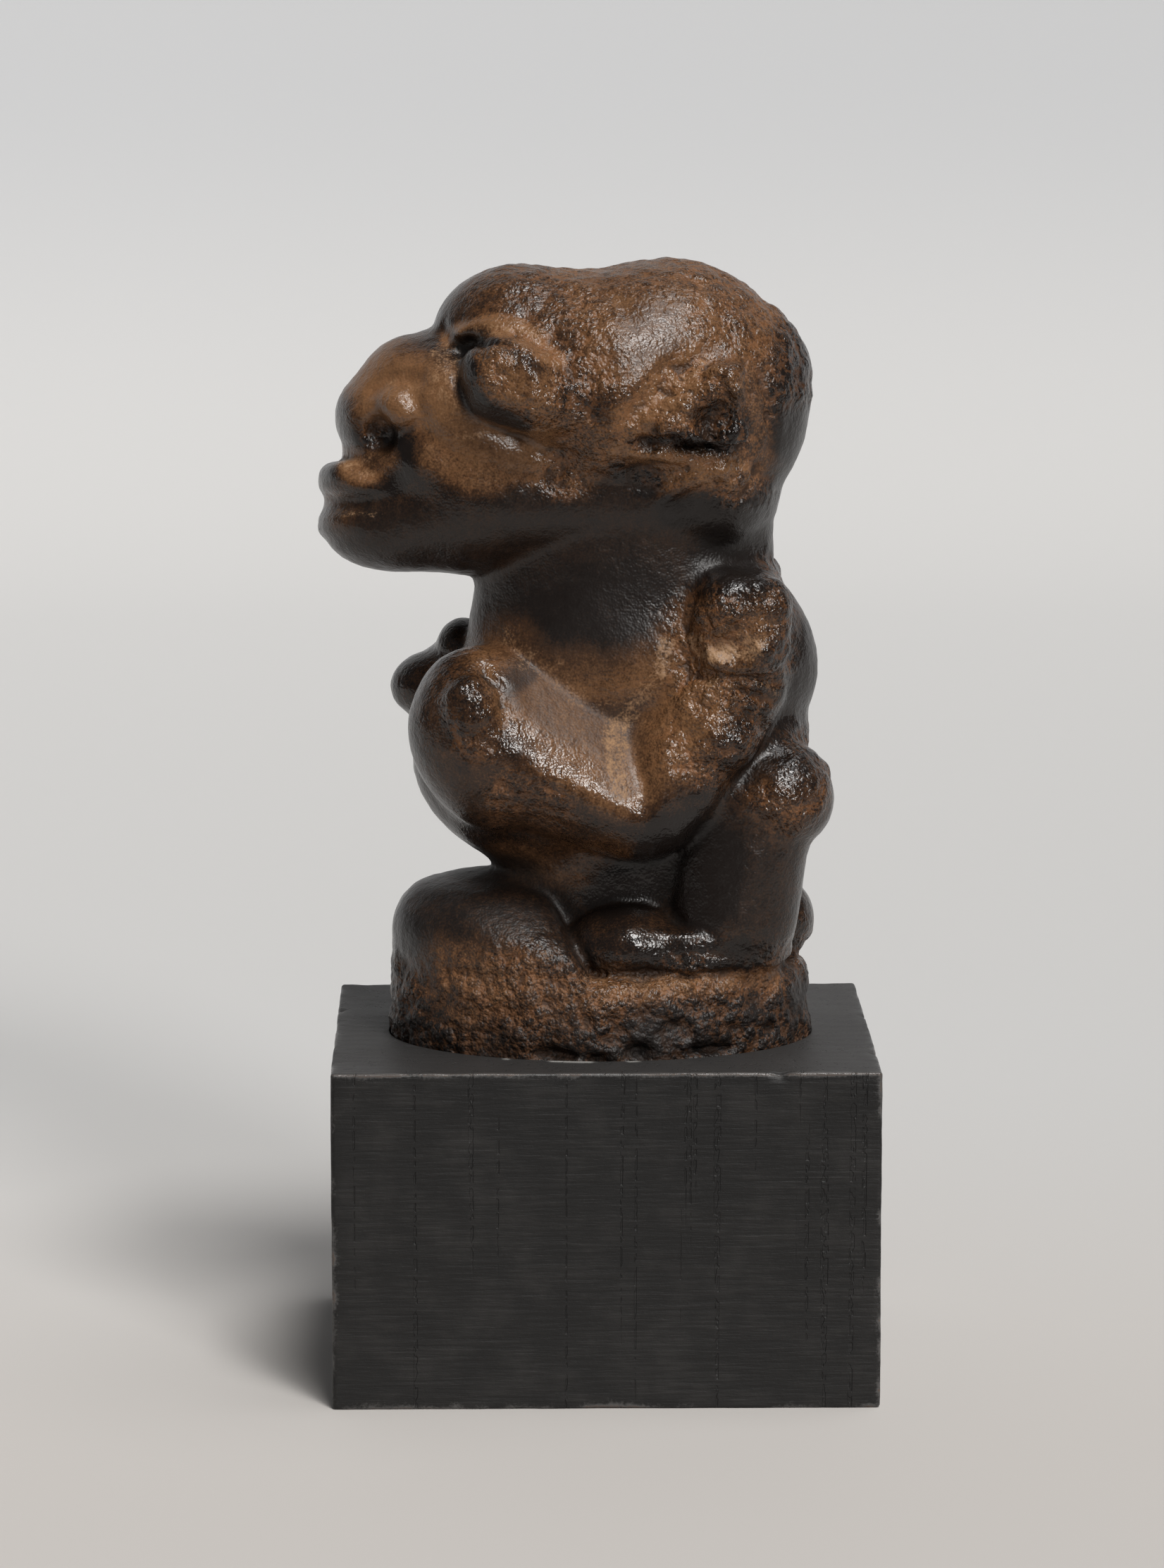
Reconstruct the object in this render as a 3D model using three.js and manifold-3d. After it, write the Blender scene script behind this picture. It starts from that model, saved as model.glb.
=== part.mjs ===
// A seated figure carved from one piece of soapstone, sunk in the top of a black-painted wooden block.
// Millimetres, +Z up. The origin is the middle of the block's underside; the figure faces -X.
// The figure is worked as a carver works: rounded masses are added to a block of distances,
// creases and hollows are cut into it, and its surface is then drawn off as triangles.
import * as THREE from "three";
import { mergeVertices } from "three/addons/utils/BufferGeometryUtils.js";
import Module from "manifold-3d";

const wasm = await Module();
wasm.setup();

// Wooden block
const blockWidth = 124;
const blockDepth = 104;
const blockHeight = 77.6;
const recessDepth = 8;
const recessPlay = 0.8; // between the stone and the wall of the recess
const recessSides = 96;
const seatGap = 0.3; // under the stone
const figureY = -3; // the figure stands a little nearer the front of the block

// Stone base and the boss above it, measured from the figure's own underside: middle, half the
// length, width and height, and the rounding of the rim
const base = { at: [-0.5, 0, 8], half: [48.1, 35.2, 17.6], rim: 5 };
const boss = { at: [-0.5, 0, 21], half: [48.3, 34.8, 22.6], rim: 12 };

// Fineness of the carving
const gridStep = 1.5;
const stoneTriangles = 8400;
const finestDetail = 2.4; // weight of the head's surface when triangles are shared out

// Rounded masses: where the middle is, half the length along x, y and z, and the turn in degrees
// about x, y and z. A paired mass is given for the left side of the body, which is at -y.
const bossSlope = { at: [-24, 0, 38], half: [15, 17, 7.6] };
const belly = { at: [-9.5, 0, 72.5], half: [34.4, 26, 27.3] };
const chest = { at: [8, 0, 91], half: [39.5, 24, 34] };
const shoulderBlades = { at: [15.6, 0, 94], half: [33.2, 26, 24] };
const smallOfBack = { at: [31.6, 0, 77], half: [16.2, 22, 11] };
const buttock = { at: [40.2, -15.5, 65.3], half: [12.4, 14.5, 12.3] };
const farButtock = { at: [38.8, 14, 61.5], half: [11.6, 14.5, 10.5] };
const foot = { at: [17, -13.5, 30.8], half: [26.5, 17.3, 5.4], turn: [0, -1.5, 0], rim: 3.4 };
const toes = { at: [5.5, -18.5, 30.5], half: [13.6, 12, 7.4] };
const overToes = { at: [8, -38, 47.5], half: [14, 15, 7], turn: [0, 12, 0] };
const farHeel = { at: [40.9, 13, 32], half: [8.8, 12, 9.4] };
const shoulder = { at: [30.5, -19.4, 106.4], half: [10.4, 14, 11], turn: [0, 6, 0], rim: 6.5 };
const elbow = { at: [10, -20.5, 68.5], half: [12, 16.3, 15] };
const hand = { at: [-27.6, -17, 78.5], half: [15.6, 17.5, 21], turn: [0, -14, 0] };
const farHand = { at: [-38, 14, 86.5], half: [10.8, 12, 8.2] };
const farKnob = { at: [-32.8, 12, 96.2], half: [5.3, 8, 6.4], turn: [0, 25, 0] };
const skull = { at: [15, 0, 155], half: [32.4, 30.5, 30.9], turn: [0, 25, 0] };
const skullCorner = { at: [29.6, 0, 161], half: [17.8, 20, 15] };
const temples = { at: [3, 0, 156.5], half: [28, 34, 26.5] };
const forehead = { at: [-10, 0, 160], half: [25, 28.5, 24] };
const cap = { at: [-18.6, 0, 168], half: [20.3, 23, 17.3] };
const cheeks = { at: [-28, 0, 141], half: [31.8, 26.5, 26.5] };
const jaw = { at: [-34, 0, 129.5], half: [30, 24.5, 14] };
const chin = { at: [-46.4, 0, 125], half: [17.6, 21, 9.8] };
const faceSides = { at: [-22, 0, 157.2], half: [30.5, 29.5, 15.6] };
const noseWing = { at: [-44.4, -14.6, 154.6], half: [7.4, 7.4, 6.2], turn: [0, 25, 0] };
const nostril = { at: [-51.8, -19.8, 148], half: [4.7, 6, 5.2], turn: [0, 0, -15] };
const upperLip = { at: [-48.6, 0, 136], half: [16.7, 21, 4.4], turn: [-7, 0, 0], rim: 3.8 };
const lowerLip = { at: [-48.6, 0, 125.9], half: [16.7, 21, 3], turn: [-7, 0, 0], rim: 2.2 };
const eyeball = { at: [-21.4, -24.5, 160], half: [12.3, 16.5, 10.6], turn: [0, 42, 4] };
const eyeCorner = { at: [-13, -26.5, 157.5], half: [10, 9, 9], turn: [0, 42, 0] };

// Long masses: both ends, the radius at each, and how far the section is flattened across the body
const waist = { from: [6, 0, 22], to: [6, 0, 60], radii: [29, 30], flat: 0.62 };
const neck = { from: [5, 0, 100], to: [5, 0, 130], radii: [34.8, 33.4], flat: 0.69 };
const jawRoot = { from: [-30, 0, 133.5], to: [24, 0, 134.5], radii: [17, 16], flat: 1.56 };
const shin = { from: [33, -14.5, 62], to: [29.4, -15.5, 38], radii: [14.6, 15], flat: 0.97 };
const upperArm = { from: [29.5, -19.5, 92], to: [15.5, -20.5, 70.5], radii: [12, 13.5] };
const forearm = { from: [7.5, -20.5, 67.6], to: [-26, -18, 81], radii: [16.6, 18.4] };
const noseTop = { from: [-32, 0, 163], to: [-43, 0, 157.8], radii: [8.6, 11], flat: 1.75 };
const noseTip = { from: [-43.2, 0, 157.8], to: [-50, 0, 149.9], radii: [11.4, 11.2], flat: 1.7 };

// Flat planes left by the tool: a point on the plane and the way it faces
const bossEnd = { at: [-9.5, 0, 36], faces: [0.86, 0, 0.5] };
const bossShoulder = { at: [-30, -30, 37], faces: [0.12, -0.58, 0.8] };
const toeEnd = { at: [-8, -20, 31], faces: [-0.9, -0.42, 0.1] };
const armInside = { at: [5.5, -24.5, 83], faces: [-0.62, -0.74, 0.32] };
const forearmTop = { at: [-7, -36.3, 73], faces: [0.285, -0.761, 0.583] };
const handTop = { at: [-30, -20, 99.2], faces: [0.15, -0.35, 1] };
const upperLipSlope = { at: [-56, -18, 138], faces: [-0.1, -0.62, 0.78] };
const eyeFront = { at: [-20, -36.6, 161], faces: [-0.04, -1, 0.1] };

// Creases and ridges on the side of the figure: x and z along the line, the radius of the tool
// at each place and how deep or how proud it runs
const underFoot = {
  line: [[-7, 27.6], [5, 26.8], [20, 26.5], [31, 27]],
  radii: [1, 1.2, 1.2, 1],
  deep: [0.8, 1.3, 1.3, 0.8],
};
const brow = {
  line: [[-34, 170.4], [-30, 172.6], [-24, 173.8], [-18, 172.2], [-13, 169]],
  radii: [2, 2.4, 2.6, 2.4, 2],
  proud: [0.5, 0.8, 0.9, 0.6, 0.2],
};
const underBrow = {
  line: [[-33.8, 168.6], [-31, 169.9], [-27.5, 171.1], [-24, 171], [-19.5, 169.8]],
  radii: [1.3, 1.6, 1.3, 1, 0.9],
  deep: [1.4, 2.6, 1.8, 1.1, 0.5],
};
const capEdge = {
  line: [[-37, 171.5], [-35.2, 168.4], [-34.5, 165]],
  radii: [1.6, 1.6, 1.6],
  deep: [0.4, 0.8, 0.4],
};
const earRim = {
  line: [[8, 150.5], [12, 154.6], [15.5, 157.6], [19, 160], [22, 162.6], [25.5, 164], [29, 162.8], [29.4, 156]],
  radii: [1.8, 2.2, 2.4, 2.4, 2.6, 2.6, 2.2, 1.8],
  proud: [0.8, 1.4, 2, 2.2, 2.4, 2, 1.2, 0.8],
};
const aboveEar = {
  line: [[6, 154], [12, 160], [18, 165.5], [26, 168.5]],
  radii: [3, 3, 3, 2.4],
  deep: [0.3, 0.6, 0.6, 0.3],
};
const earLobe = {
  line: [[5, 144.4], [13, 144.8], [18, 143.4], [24, 142.6], [30.5, 142.2]],
  radii: [1.6, 2, 1.8, 2, 1.8],
  proud: [0.8, 1.3, 1, 1.3, 0.8],
};
const lobeRidge = {
  line: [[13, 134.8], [18, 137.6], [24, 139], [30.5, 138]],
  radii: [1.6, 2.2, 2.4, 2],
  proud: [0.9, 1.8, 1.8, 1],
};
const earSlot = {
  line: [[5, 147.3], [12, 147.4], [20, 147.2], [27, 146.4]],
  radii: [1.5, 1.8, 1.6, 1],
  deep: [1.4, 2.4, 2.2, 1],
};
const besideEar = {
  line: [[30.8, 162.5], [30.9, 155], [30.5, 148]],
  radii: [0.9, 1, 0.9],
  deep: [1, 1.5, 0.9],
};
const behindEar = {
  line: [[33.5, 165], [36, 160], [37.3, 155], [38.4, 149], [38.4, 144]],
  radii: [1.6, 1.6, 1.6, 1.6, 1.6],
  deep: [0.6, 1.1, 1.2, 1, 0.6],
};
const roundKnob = {
  line: [[-27, 96], [-23.4, 91], [-22.4, 85], [-25, 81]],
  radii: [1.6, 2, 2, 1.6],
  deep: [0.4, 0.7, 0.6, 0.3],
};
const shoulderRim = {
  line: [[21.3, 103.4], [22.6, 100.8], [25.8, 98], [30, 97], [33.6, 97.4]],
  radii: [1.4, 1.5, 1.6, 1.6, 1.4],
  proud: [0.6, 0.9, 1.2, 1.2, 0.8],
};
const armCreases = [
  { line: [[26, 95.4], [33, 94.6], [38, 93.2]], radii: [1, 1.3, 1.3], deep: [0.7, 1.5, 1] },
  { line: [[27.5, 92.6], [33, 90.6], [37.6, 88.6]], radii: [1, 1.5, 1.6], deep: [0.7, 1.8, 1.3] },
];

// Swellings and hollows pressed into the side: x and z of the middle, half the length along x, y
// and z, how proud or deep, and the lean in degrees
const overElbow = { at: [26.5, 81], half: [8, 6, 7], proud: 2, lean: 30 };
const wristKnob = { at: [-28.8, 89.5], half: [4.6, 4.6, 5.4], proud: 2.6, lean: -25 };
const shoulderDish = { at: [27.5, 101], half: [7, 5, 3.8], deep: 2.4, lean: -10 };
const cheekbone = { at: [-39.5, 142.5], half: [5.5, 4.5, 5], proud: 0.9 };
const browCorner = { at: [-32.6, 167.6], half: [2.2, 3, 2.2], deep: 2, lean: 35 };
const earMass = { at: [22.5, 154], half: [11, 8, 9], proud: 3, lean: -35 };
const earHollow = { at: [24.5, 152.5], half: [5.5, 4, 4.2], deep: 2.6 };
const lobeMass = { at: [21.5, 138.5], half: [14, 8, 7.5], proud: 2.6 };
const lobeHollow = { at: [14, 140], half: [4.6, 3, 2.6], deep: 1.8 };

const { cos, sin, abs, min, max, hypot } = Math;
const radians = THREE.MathUtils.degToRad;

// The other side's copy of anything given for the left side
const mirrored = (triple) => [triple[0], -triple[1], triple[2]];

function forSide(form, side) {
  if (side < 0) return form;
  const copy = { ...form };
  for (const key of ["at", "from", "to", "faces"]) if (form[key]) copy[key] = mirrored(form[key]);
  if (form.turn) copy.turn = [-form.turn[0], form.turn[1], -form.turn[2]];
  return copy;
}

// Coordinates measured from a form's own middle and along its own axes
function inside(at, turn) {
  const [cx, cy, cz] = (turn ?? [0, 0, 0]).map((angle) => cos(radians(angle)));
  const [sx, sy, sz] = (turn ?? [0, 0, 0]).map((angle) => sin(radians(angle)));
  return (x, y, z) => {
    x -= at[0];
    y -= at[1];
    z -= at[2];
    [y, z] = [cx * y + sx * z, cx * z - sx * y];
    [x, z] = [cy * x - sy * z, cy * z + sy * x];
    return [cz * x + sz * y, cz * y - sz * x, z];
  };
}

const around = (at, reach) => ({ low: at.map((v) => v - reach), high: at.map((v) => v + reach) });

// An egg-shaped mass
function egg({ at, half, turn }) {
  const [a, b, c] = half;
  const own = inside(at, turn);
  const distance = (x, y, z) => {
    const [u, v, w] = own(x, y, z);
    const k = hypot(u / a, v / b, w / c);
    return (k * (k - 1)) / (hypot(u / (a * a), v / (b * b), w / (c * c)) + 1e-6);
  };
  return { distance, ...around(at, max(a, b, c)) };
}

// A limb with a rounded end and a radius that changes along it
function limb({ from, to, radii, flat = 1 }) {
  const along = [to[0] - from[0], (to[1] - from[1]) / flat, to[2] - from[2]];
  const squared = along[0] ** 2 + along[1] ** 2 + along[2] ** 2;
  const distance = (x, y, z) => {
    const u = x - from[0];
    const v = (y - from[1]) / flat;
    const w = z - from[2];
    const h = min(max((u * along[0] + v * along[1] + w * along[2]) / squared, 0), 1);
    return hypot(u - h * along[0], v - h * along[1], w - h * along[2]) - radii[0] - (radii[1] - radii[0]) * h;
  };
  const reach = max(...radii) * max(flat, 1);
  const low = from.map((v, i) => min(v, to[i]) - reach);
  const high = from.map((v, i) => max(v, to[i]) + reach);
  return { distance, low, high };
}

// Limbs end to end
function path(points, radii) {
  const parts = points.slice(1).map((to, i) => limb({ from: points[i], to, radii: [radii[i], radii[i + 1]] }));
  return {
    distance: (x, y, z) => min(...parts.map((part) => part.distance(x, y, z))),
    low: [0, 1, 2].map((i) => min(...parts.map((part) => part.low[i]))),
    high: [0, 1, 2].map((i) => max(...parts.map((part) => part.high[i]))),
  };
}

// A squared mass with rounded edges
function slab({ at, half, turn, rim }) {
  const own = inside(at, turn);
  const distance = (x, y, z) => {
    const q = own(x, y, z).map((v, i) => abs(v) - half[i] + rim);
    return hypot(...q.map((v) => max(v, 0))) + min(max(...q), 0) - rim;
  };
  return { distance, ...around(at, hypot(...half)) };
}

// An upright oval column with rounded rims
function column({ at, half, turn, rim }) {
  const [a, b, c] = half;
  const own = inside(at, turn);
  const distance = (x, y, z) => {
    const [u, v, w] = own(x, y, z);
    const k = hypot(u / a, v / b);
    const q = (k * (k - 1)) / (hypot(u / (a * a), v / (b * b)) + 1e-6) + rim;
    const r = abs(w) - c + rim;
    return hypot(max(q, 0), max(r, 0)) + min(max(q, r), 0) - rim;
  };
  return { distance, ...around(at, max(a, b, c)) };
}

// Everything behind a plane
function behind({ at, faces }) {
  const length = hypot(...faces);
  return {
    distance: (x, y, z) =>
      ((x - at[0]) * faces[0] + (y - at[1]) * faces[1] + (z - at[2]) * faces[2]) / length,
  };
}

// The larger of two distances, rounded where they meet
function softMax(a, b, blend) {
  const h = max(blend - abs(a - b), 0);
  return max(a, b) + (h * h) / (4 * blend);
}

// A form pared down by planes
function pared(form, blend, ...planes) {
  const distance = (x, y, z) =>
    planes.reduce((d, plane) => softMax(d, plane.distance(x, y, z), blend), form.distance(x, y, z));
  return { ...form, distance };
}

// The block of stone: the distance to the surface at each point of a grid
class Block {
  constructor(low, high, step) {
    this.low = low;
    this.step = step;
    this.size = low.map((v, i) => Math.ceil((high[i] - v) / step) + 1);
    this.field = new Float32Array(this.size[0] * this.size[1] * this.size[2]).fill(30);
  }

  index(i, j, k) {
    return (i * this.size[1] + j) * this.size[2] + k;
  }

  each(shape, margin, change) {
    const { low, step, size, field } = this;
    const first = low.map((v, i) => max(Math.floor((shape.low[i] - margin - v) / step), 0));
    const last = low.map((v, i) => min(Math.ceil((shape.high[i] + margin - v) / step), size[i] - 1));
    for (let i = first[0]; i <= last[0]; i++) {
      for (let j = first[1]; j <= last[1]; j++) {
        for (let k = first[2]; k <= last[2]; k++) {
          const n = this.index(i, j, k);
          const d = shape.distance(low[0] + i * step, low[1] + j * step, low[2] + k * step);
          field[n] = change(field[n], d);
        }
      }
    }
  }

  add(shape, blend) {
    this.each(shape, 16, (old, d) => -softMax(-old, -d, blend));
  }

  cut(shape, blend) {
    this.each(shape, blend + 1, (old, d) => softMax(old, -d, blend));
  }

  // How far out the surface lies at a place seen from the side
  skin(x, z, side) {
    const { low, step, size, field } = this;
    const u = (x - low[0]) / step;
    const w = (z - low[2]) / step;
    const i = Math.floor(u);
    const k = Math.floor(w);
    const at = (j) => {
      const near = field[this.index(i, j, k)] * (1 - w + k) + field[this.index(i, j, k + 1)] * (w - k);
      const next = field[this.index(i + 1, j, k)] * (1 - w + k) + field[this.index(i + 1, j, k + 1)] * (w - k);
      return near * (1 - u + i) + next * (u - i);
    };
    const start = side > 0 ? size[1] - 1 : 0;
    for (let n = 0; n < size[1] - 1; n++) {
      const j = start - side * n;
      const here = at(j);
      const there = at(j - side);
      if (here >= 0 && there < 0) return low[1] + step * (j - (side * here) / (here - there));
    }
    return 0;
  }

  // A crease cut along a line on the side
  groove(side, { line, radii, deep }, blend) {
    const points = line.map(([x, z], i) => [x, this.skin(x, z, side) + side * (radii[i] - deep[i]), z]);
    this.cut(path(points, radii), blend);
  }

  // A ridge standing along a line on the side
  ridge(side, { line, radii, proud }, blend) {
    const points = line.map(([x, z], i) => [x, this.skin(x, z, side) + side * (proud[i] - radii[i]), z]);
    this.add(path(points, radii), blend);
  }

  // A swelling on the side
  lump(side, { at: [x, z], half, proud, lean = 0 }, blend) {
    const y = this.skin(x, z, side) + side * (proud - half[1]);
    this.add(egg({ at: [x, y, z], half, turn: [0, lean, 0] }), blend);
  }

  // A hollow in the side
  dent(side, { at: [x, z], half, deep, lean = 0 }, blend) {
    const y = this.skin(x, z, side) + side * (half[1] - deep);
    this.cut(egg({ at: [x, y, z], half, turn: [0, lean, 0] }), blend);
  }
}

function carveBase(block) {
  const shoulders = [-1, 1].map((side) => behind(forSide(bossShoulder, side)));
  block.add(column(base), 3);
  block.add(pared(column(boss), 4, behind(bossEnd), ...shoulders), 2);
  block.add(egg(bossSlope), 3);
}

function carveTrunk(block) {
  block.add(limb(waist), 3);
  block.add(egg(belly), 4);
  block.add(egg(chest), 6);
  block.add(limb(neck), 6);
  block.add(egg(shoulderBlades), 5);
  block.add(egg(smallOfBack), 3);
}

function carveLeg(block, side) {
  block.add(limb(forSide(shin, side)), 6);
  block.add(egg(side < 0 ? buttock : farButtock), 2.5);
  block.add(pared(column(forSide(foot, side)), 1, behind(forSide(toeEnd, side))), 1);
  block.add(egg(forSide(toes, side)), 2);
  block.cut(egg(forSide(overToes, side)), 2);
  block.groove(side, underFoot, 0.8);
  if (side > 0) block.add(egg(farHeel), 1.5);
}

function carveArm(block, side) {
  const trunkSide = behind(forSide(armInside, side));
  block.add(slab(forSide(shoulder, side)), 2.5);
  block.add(pared(limb(forSide(upperArm, side)), 2, trunkSide), 2);
  block.add(pared(egg(forSide(elbow, side)), 2, trunkSide), 2);
  block.lump(side, overElbow, 3);
  block.add(pared(limb(forSide(forearm, side)), 2, behind(forSide(forearmTop, side))), 1.2);
  block.add(pared(egg(forSide(hand, side)), 3, behind(forSide(handTop, side))), 2.5);
  block.groove(side, roundKnob, 2);
  block.lump(side, wristKnob, 1.5);
  block.dent(side, shoulderDish, 1.5);
  block.ridge(side, shoulderRim, 1);
  for (const crease of armCreases) block.groove(side, crease, 0.8);
}

function carveHead(block) {
  block.add(egg(skull), 4);
  block.add(egg(skullCorner), 3);
  block.add(egg(temples), 4);
  block.add(egg(forehead), 4);
  block.add(limb(jawRoot), 2);
  block.add(egg(cheeks), 3);
  block.add(egg(jaw), 2);
  block.add(egg(chin), 2);
  block.add(egg(faceSides), 3);
  block.add(limb(noseTop), 2);
  block.add(limb(noseTip), 0.4);
  block.add(egg(cap), 1);
  for (const side of [-1, 1]) {
    block.add(egg(forSide(noseWing, side)), 2.5);
    block.cut(egg(forSide(nostril, side)), 1.8);
    block.lump(side, cheekbone, 3);
  }
  const slopes = [-1, 1].map((side) => behind(forSide(upperLipSlope, side)));
  block.add(pared(column(upperLip), 1, ...slopes), 1);
  block.add(column(lowerLip), 1.2);
}

function carveEye(block, side) {
  block.ridge(side, brow, 2.5);
  block.add(pared(egg(forSide(eyeball, side)), 3, behind(forSide(eyeFront, side))), 0.6);
  block.add(egg(forSide(eyeCorner, side)), 3);
  block.groove(side, underBrow, 0.6);
  block.dent(side, browCorner, 0.6);
  block.groove(side, capEdge, 1.5);
}

function carveEar(block, side) {
  block.lump(side, earMass, 1.5);
  block.ridge(side, earRim, 1.2);
  block.groove(side, aboveEar, 2.5);
  block.dent(side, earHollow, 1.2);
  block.lump(side, lobeMass, 2);
  block.ridge(side, earLobe, 1);
  block.ridge(side, lobeRidge, 1);
  block.dent(side, lobeHollow, 1);
  block.groove(side, earSlot, 0.8);
  block.groove(side, besideEar, 0.8);
  block.groove(side, behindEar, 1.2);
}

// Fills the corners where the surface would touch itself along an edge
function settle(block) {
  const { size, field } = block;
  const steps = [block.index(1, 0, 0), block.index(0, 1, 0), 1];
  let changed = true;
  while (changed) {
    changed = false;
    for (let i = 0; i < size[0] - 1; i++) {
      for (let j = 0; j < size[1] - 1; j++) {
        for (let k = 0; k < size[2] - 1; k++) {
          const n = block.index(i, j, k);
          for (let axis = 0; axis < 3; axis++) {
            const u = steps[(axis + 1) % 3];
            const v = steps[(axis + 2) % 3];
            const corners = [n, n + u, n + u + v, n + v];
            const solid = corners.map((c) => field[c] < 0);
            if (solid[0] === solid[2] && solid[1] === solid[3] && solid[0] !== solid[1]) {
              const open = corners.filter((c, m) => !solid[m]);
              const nearer = field[open[0]] < field[open[1]] ? open[0] : open[1];
              field[nearer] = -0.05 * block.step;
              changed = true;
            }
          }
        }
      }
    }
  }
}

// Draws the surface off the block: one point in each cell that it crosses
function drawSurface(block) {
  const { size, field, low, step } = block;
  const points = [];
  const cell = new Int32Array(field.length).fill(-1);
  const corner = [0, 1, 2, 3, 4, 5, 6, 7].map((n) => [n & 1, (n >> 1) & 1, (n >> 2) & 1]);
  const edges = [];
  for (let a = 0; a < 8; a++) for (const bit of [1, 2, 4]) if (!(a & bit)) edges.push([a, a | bit]);
  for (let i = 0; i < size[0] - 1; i++) {
    for (let j = 0; j < size[1] - 1; j++) {
      for (let k = 0; k < size[2] - 1; k++) {
        const values = corner.map(([a, b, c]) => field[block.index(i + a, j + b, k + c)]);
        const sum = [0, 0, 0];
        let count = 0;
        for (const [a, b] of edges) {
          if (values[a] < 0 === values[b] < 0) continue;
          const t = values[a] / (values[a] - values[b]);
          for (let m = 0; m < 3; m++) sum[m] += corner[a][m] + t * (corner[b][m] - corner[a][m]);
          count++;
        }
        if (!count) continue;
        cell[block.index(i, j, k)] = points.length;
        points.push([i, j, k].map((v, m) => low[m] + step * (v + sum[m] / count)));
      }
    }
  }
  const faces = [];
  const steps = [block.index(1, 0, 0), block.index(0, 1, 0), 1];
  for (let i = 1; i < size[0] - 1; i++) {
    for (let j = 1; j < size[1] - 1; j++) {
      for (let k = 1; k < size[2] - 1; k++) {
        const n = block.index(i, j, k);
        for (let axis = 0; axis < 3; axis++) {
          const solid = field[n] < 0;
          if (solid === field[n + steps[axis]] < 0) continue;
          const u = steps[(axis + 1) % 3];
          const v = steps[(axis + 2) % 3];
          const quad = [cell[n - u - v], cell[n - v], cell[n], cell[n - u]];
          if (!solid) quad.reverse();
          faces.push(...halves(quad, points));
        }
      }
    }
  }
  return { points, faces };
}

// A four-sided face as two triangles, split along its shorter diagonal
function halves([a, b, c, d], points) {
  const apart = (p, q) => hypot(...points[p].map((v, i) => v - points[q][i]));
  return apart(a, c) < apart(b, d) ? [[a, b, c], [a, c, d]] : [[a, b, d], [b, c, d]];
}

// Sum of squared distances to planes, as the ten numbers of a symmetric form
function planeForm([p, q, r], points, weight) {
  const [a, b, c] = [p, q, r].map((n) => new THREE.Vector3(...points[n]));
  const normal = b.sub(a).cross(c.sub(a));
  const area = normal.length() / 2;
  normal.normalize();
  const { x, y, z } = normal;
  const w = -normal.dot(a);
  return [x * x, x * y, x * z, x * w, y * y, y * z, y * w, z * z, z * w, w * w].map((v) => v * area * weight);
}

function formValue(f, [x, y, z]) {
  return (
    f[0] * x * x + f[4] * y * y + f[7] * z * z + 2 * (f[1] * x * y + f[2] * x * z + f[5] * y * z) +
    2 * (f[3] * x + f[6] * y + f[8] * z) + f[9]
  );
}

// The point with the smallest sum, or nothing where the planes don't settle one
function lowestPoint(f) {
  const matrix = new THREE.Matrix3(f[0], f[1], f[2], f[1], f[4], f[5], f[2], f[5], f[7]);
  const scale = max(f[0], f[4], f[7]);
  if (abs(matrix.determinant()) < 1e-4 * scale ** 3) return null;
  return new THREE.Vector3(-f[3], -f[6], -f[8]).applyMatrix3(matrix.invert()).toArray();
}

// A queue that always gives back the cheapest entry
class Queue {
  items = [];

  push(item) {
    const { items } = this;
    let n = items.push(item) - 1;
    while (n > 0) {
      const parent = (n - 1) >> 1;
      if (items[parent].cost <= item.cost) break;
      items[n] = items[parent];
      n = parent;
    }
    items[n] = item;
  }

  pop() {
    const { items } = this;
    const top = items[0];
    const item = items.pop();
    if (!items.length) return top;
    let n = 0;
    for (;;) {
      let child = 2 * n + 1;
      if (child >= items.length) break;
      if (child + 1 < items.length && items[child + 1].cost < items[child].cost) child++;
      if (items[child].cost >= item.cost) break;
      items[n] = items[child];
      n = child;
    }
    items[n] = item;
    return top;
  }
}

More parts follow.
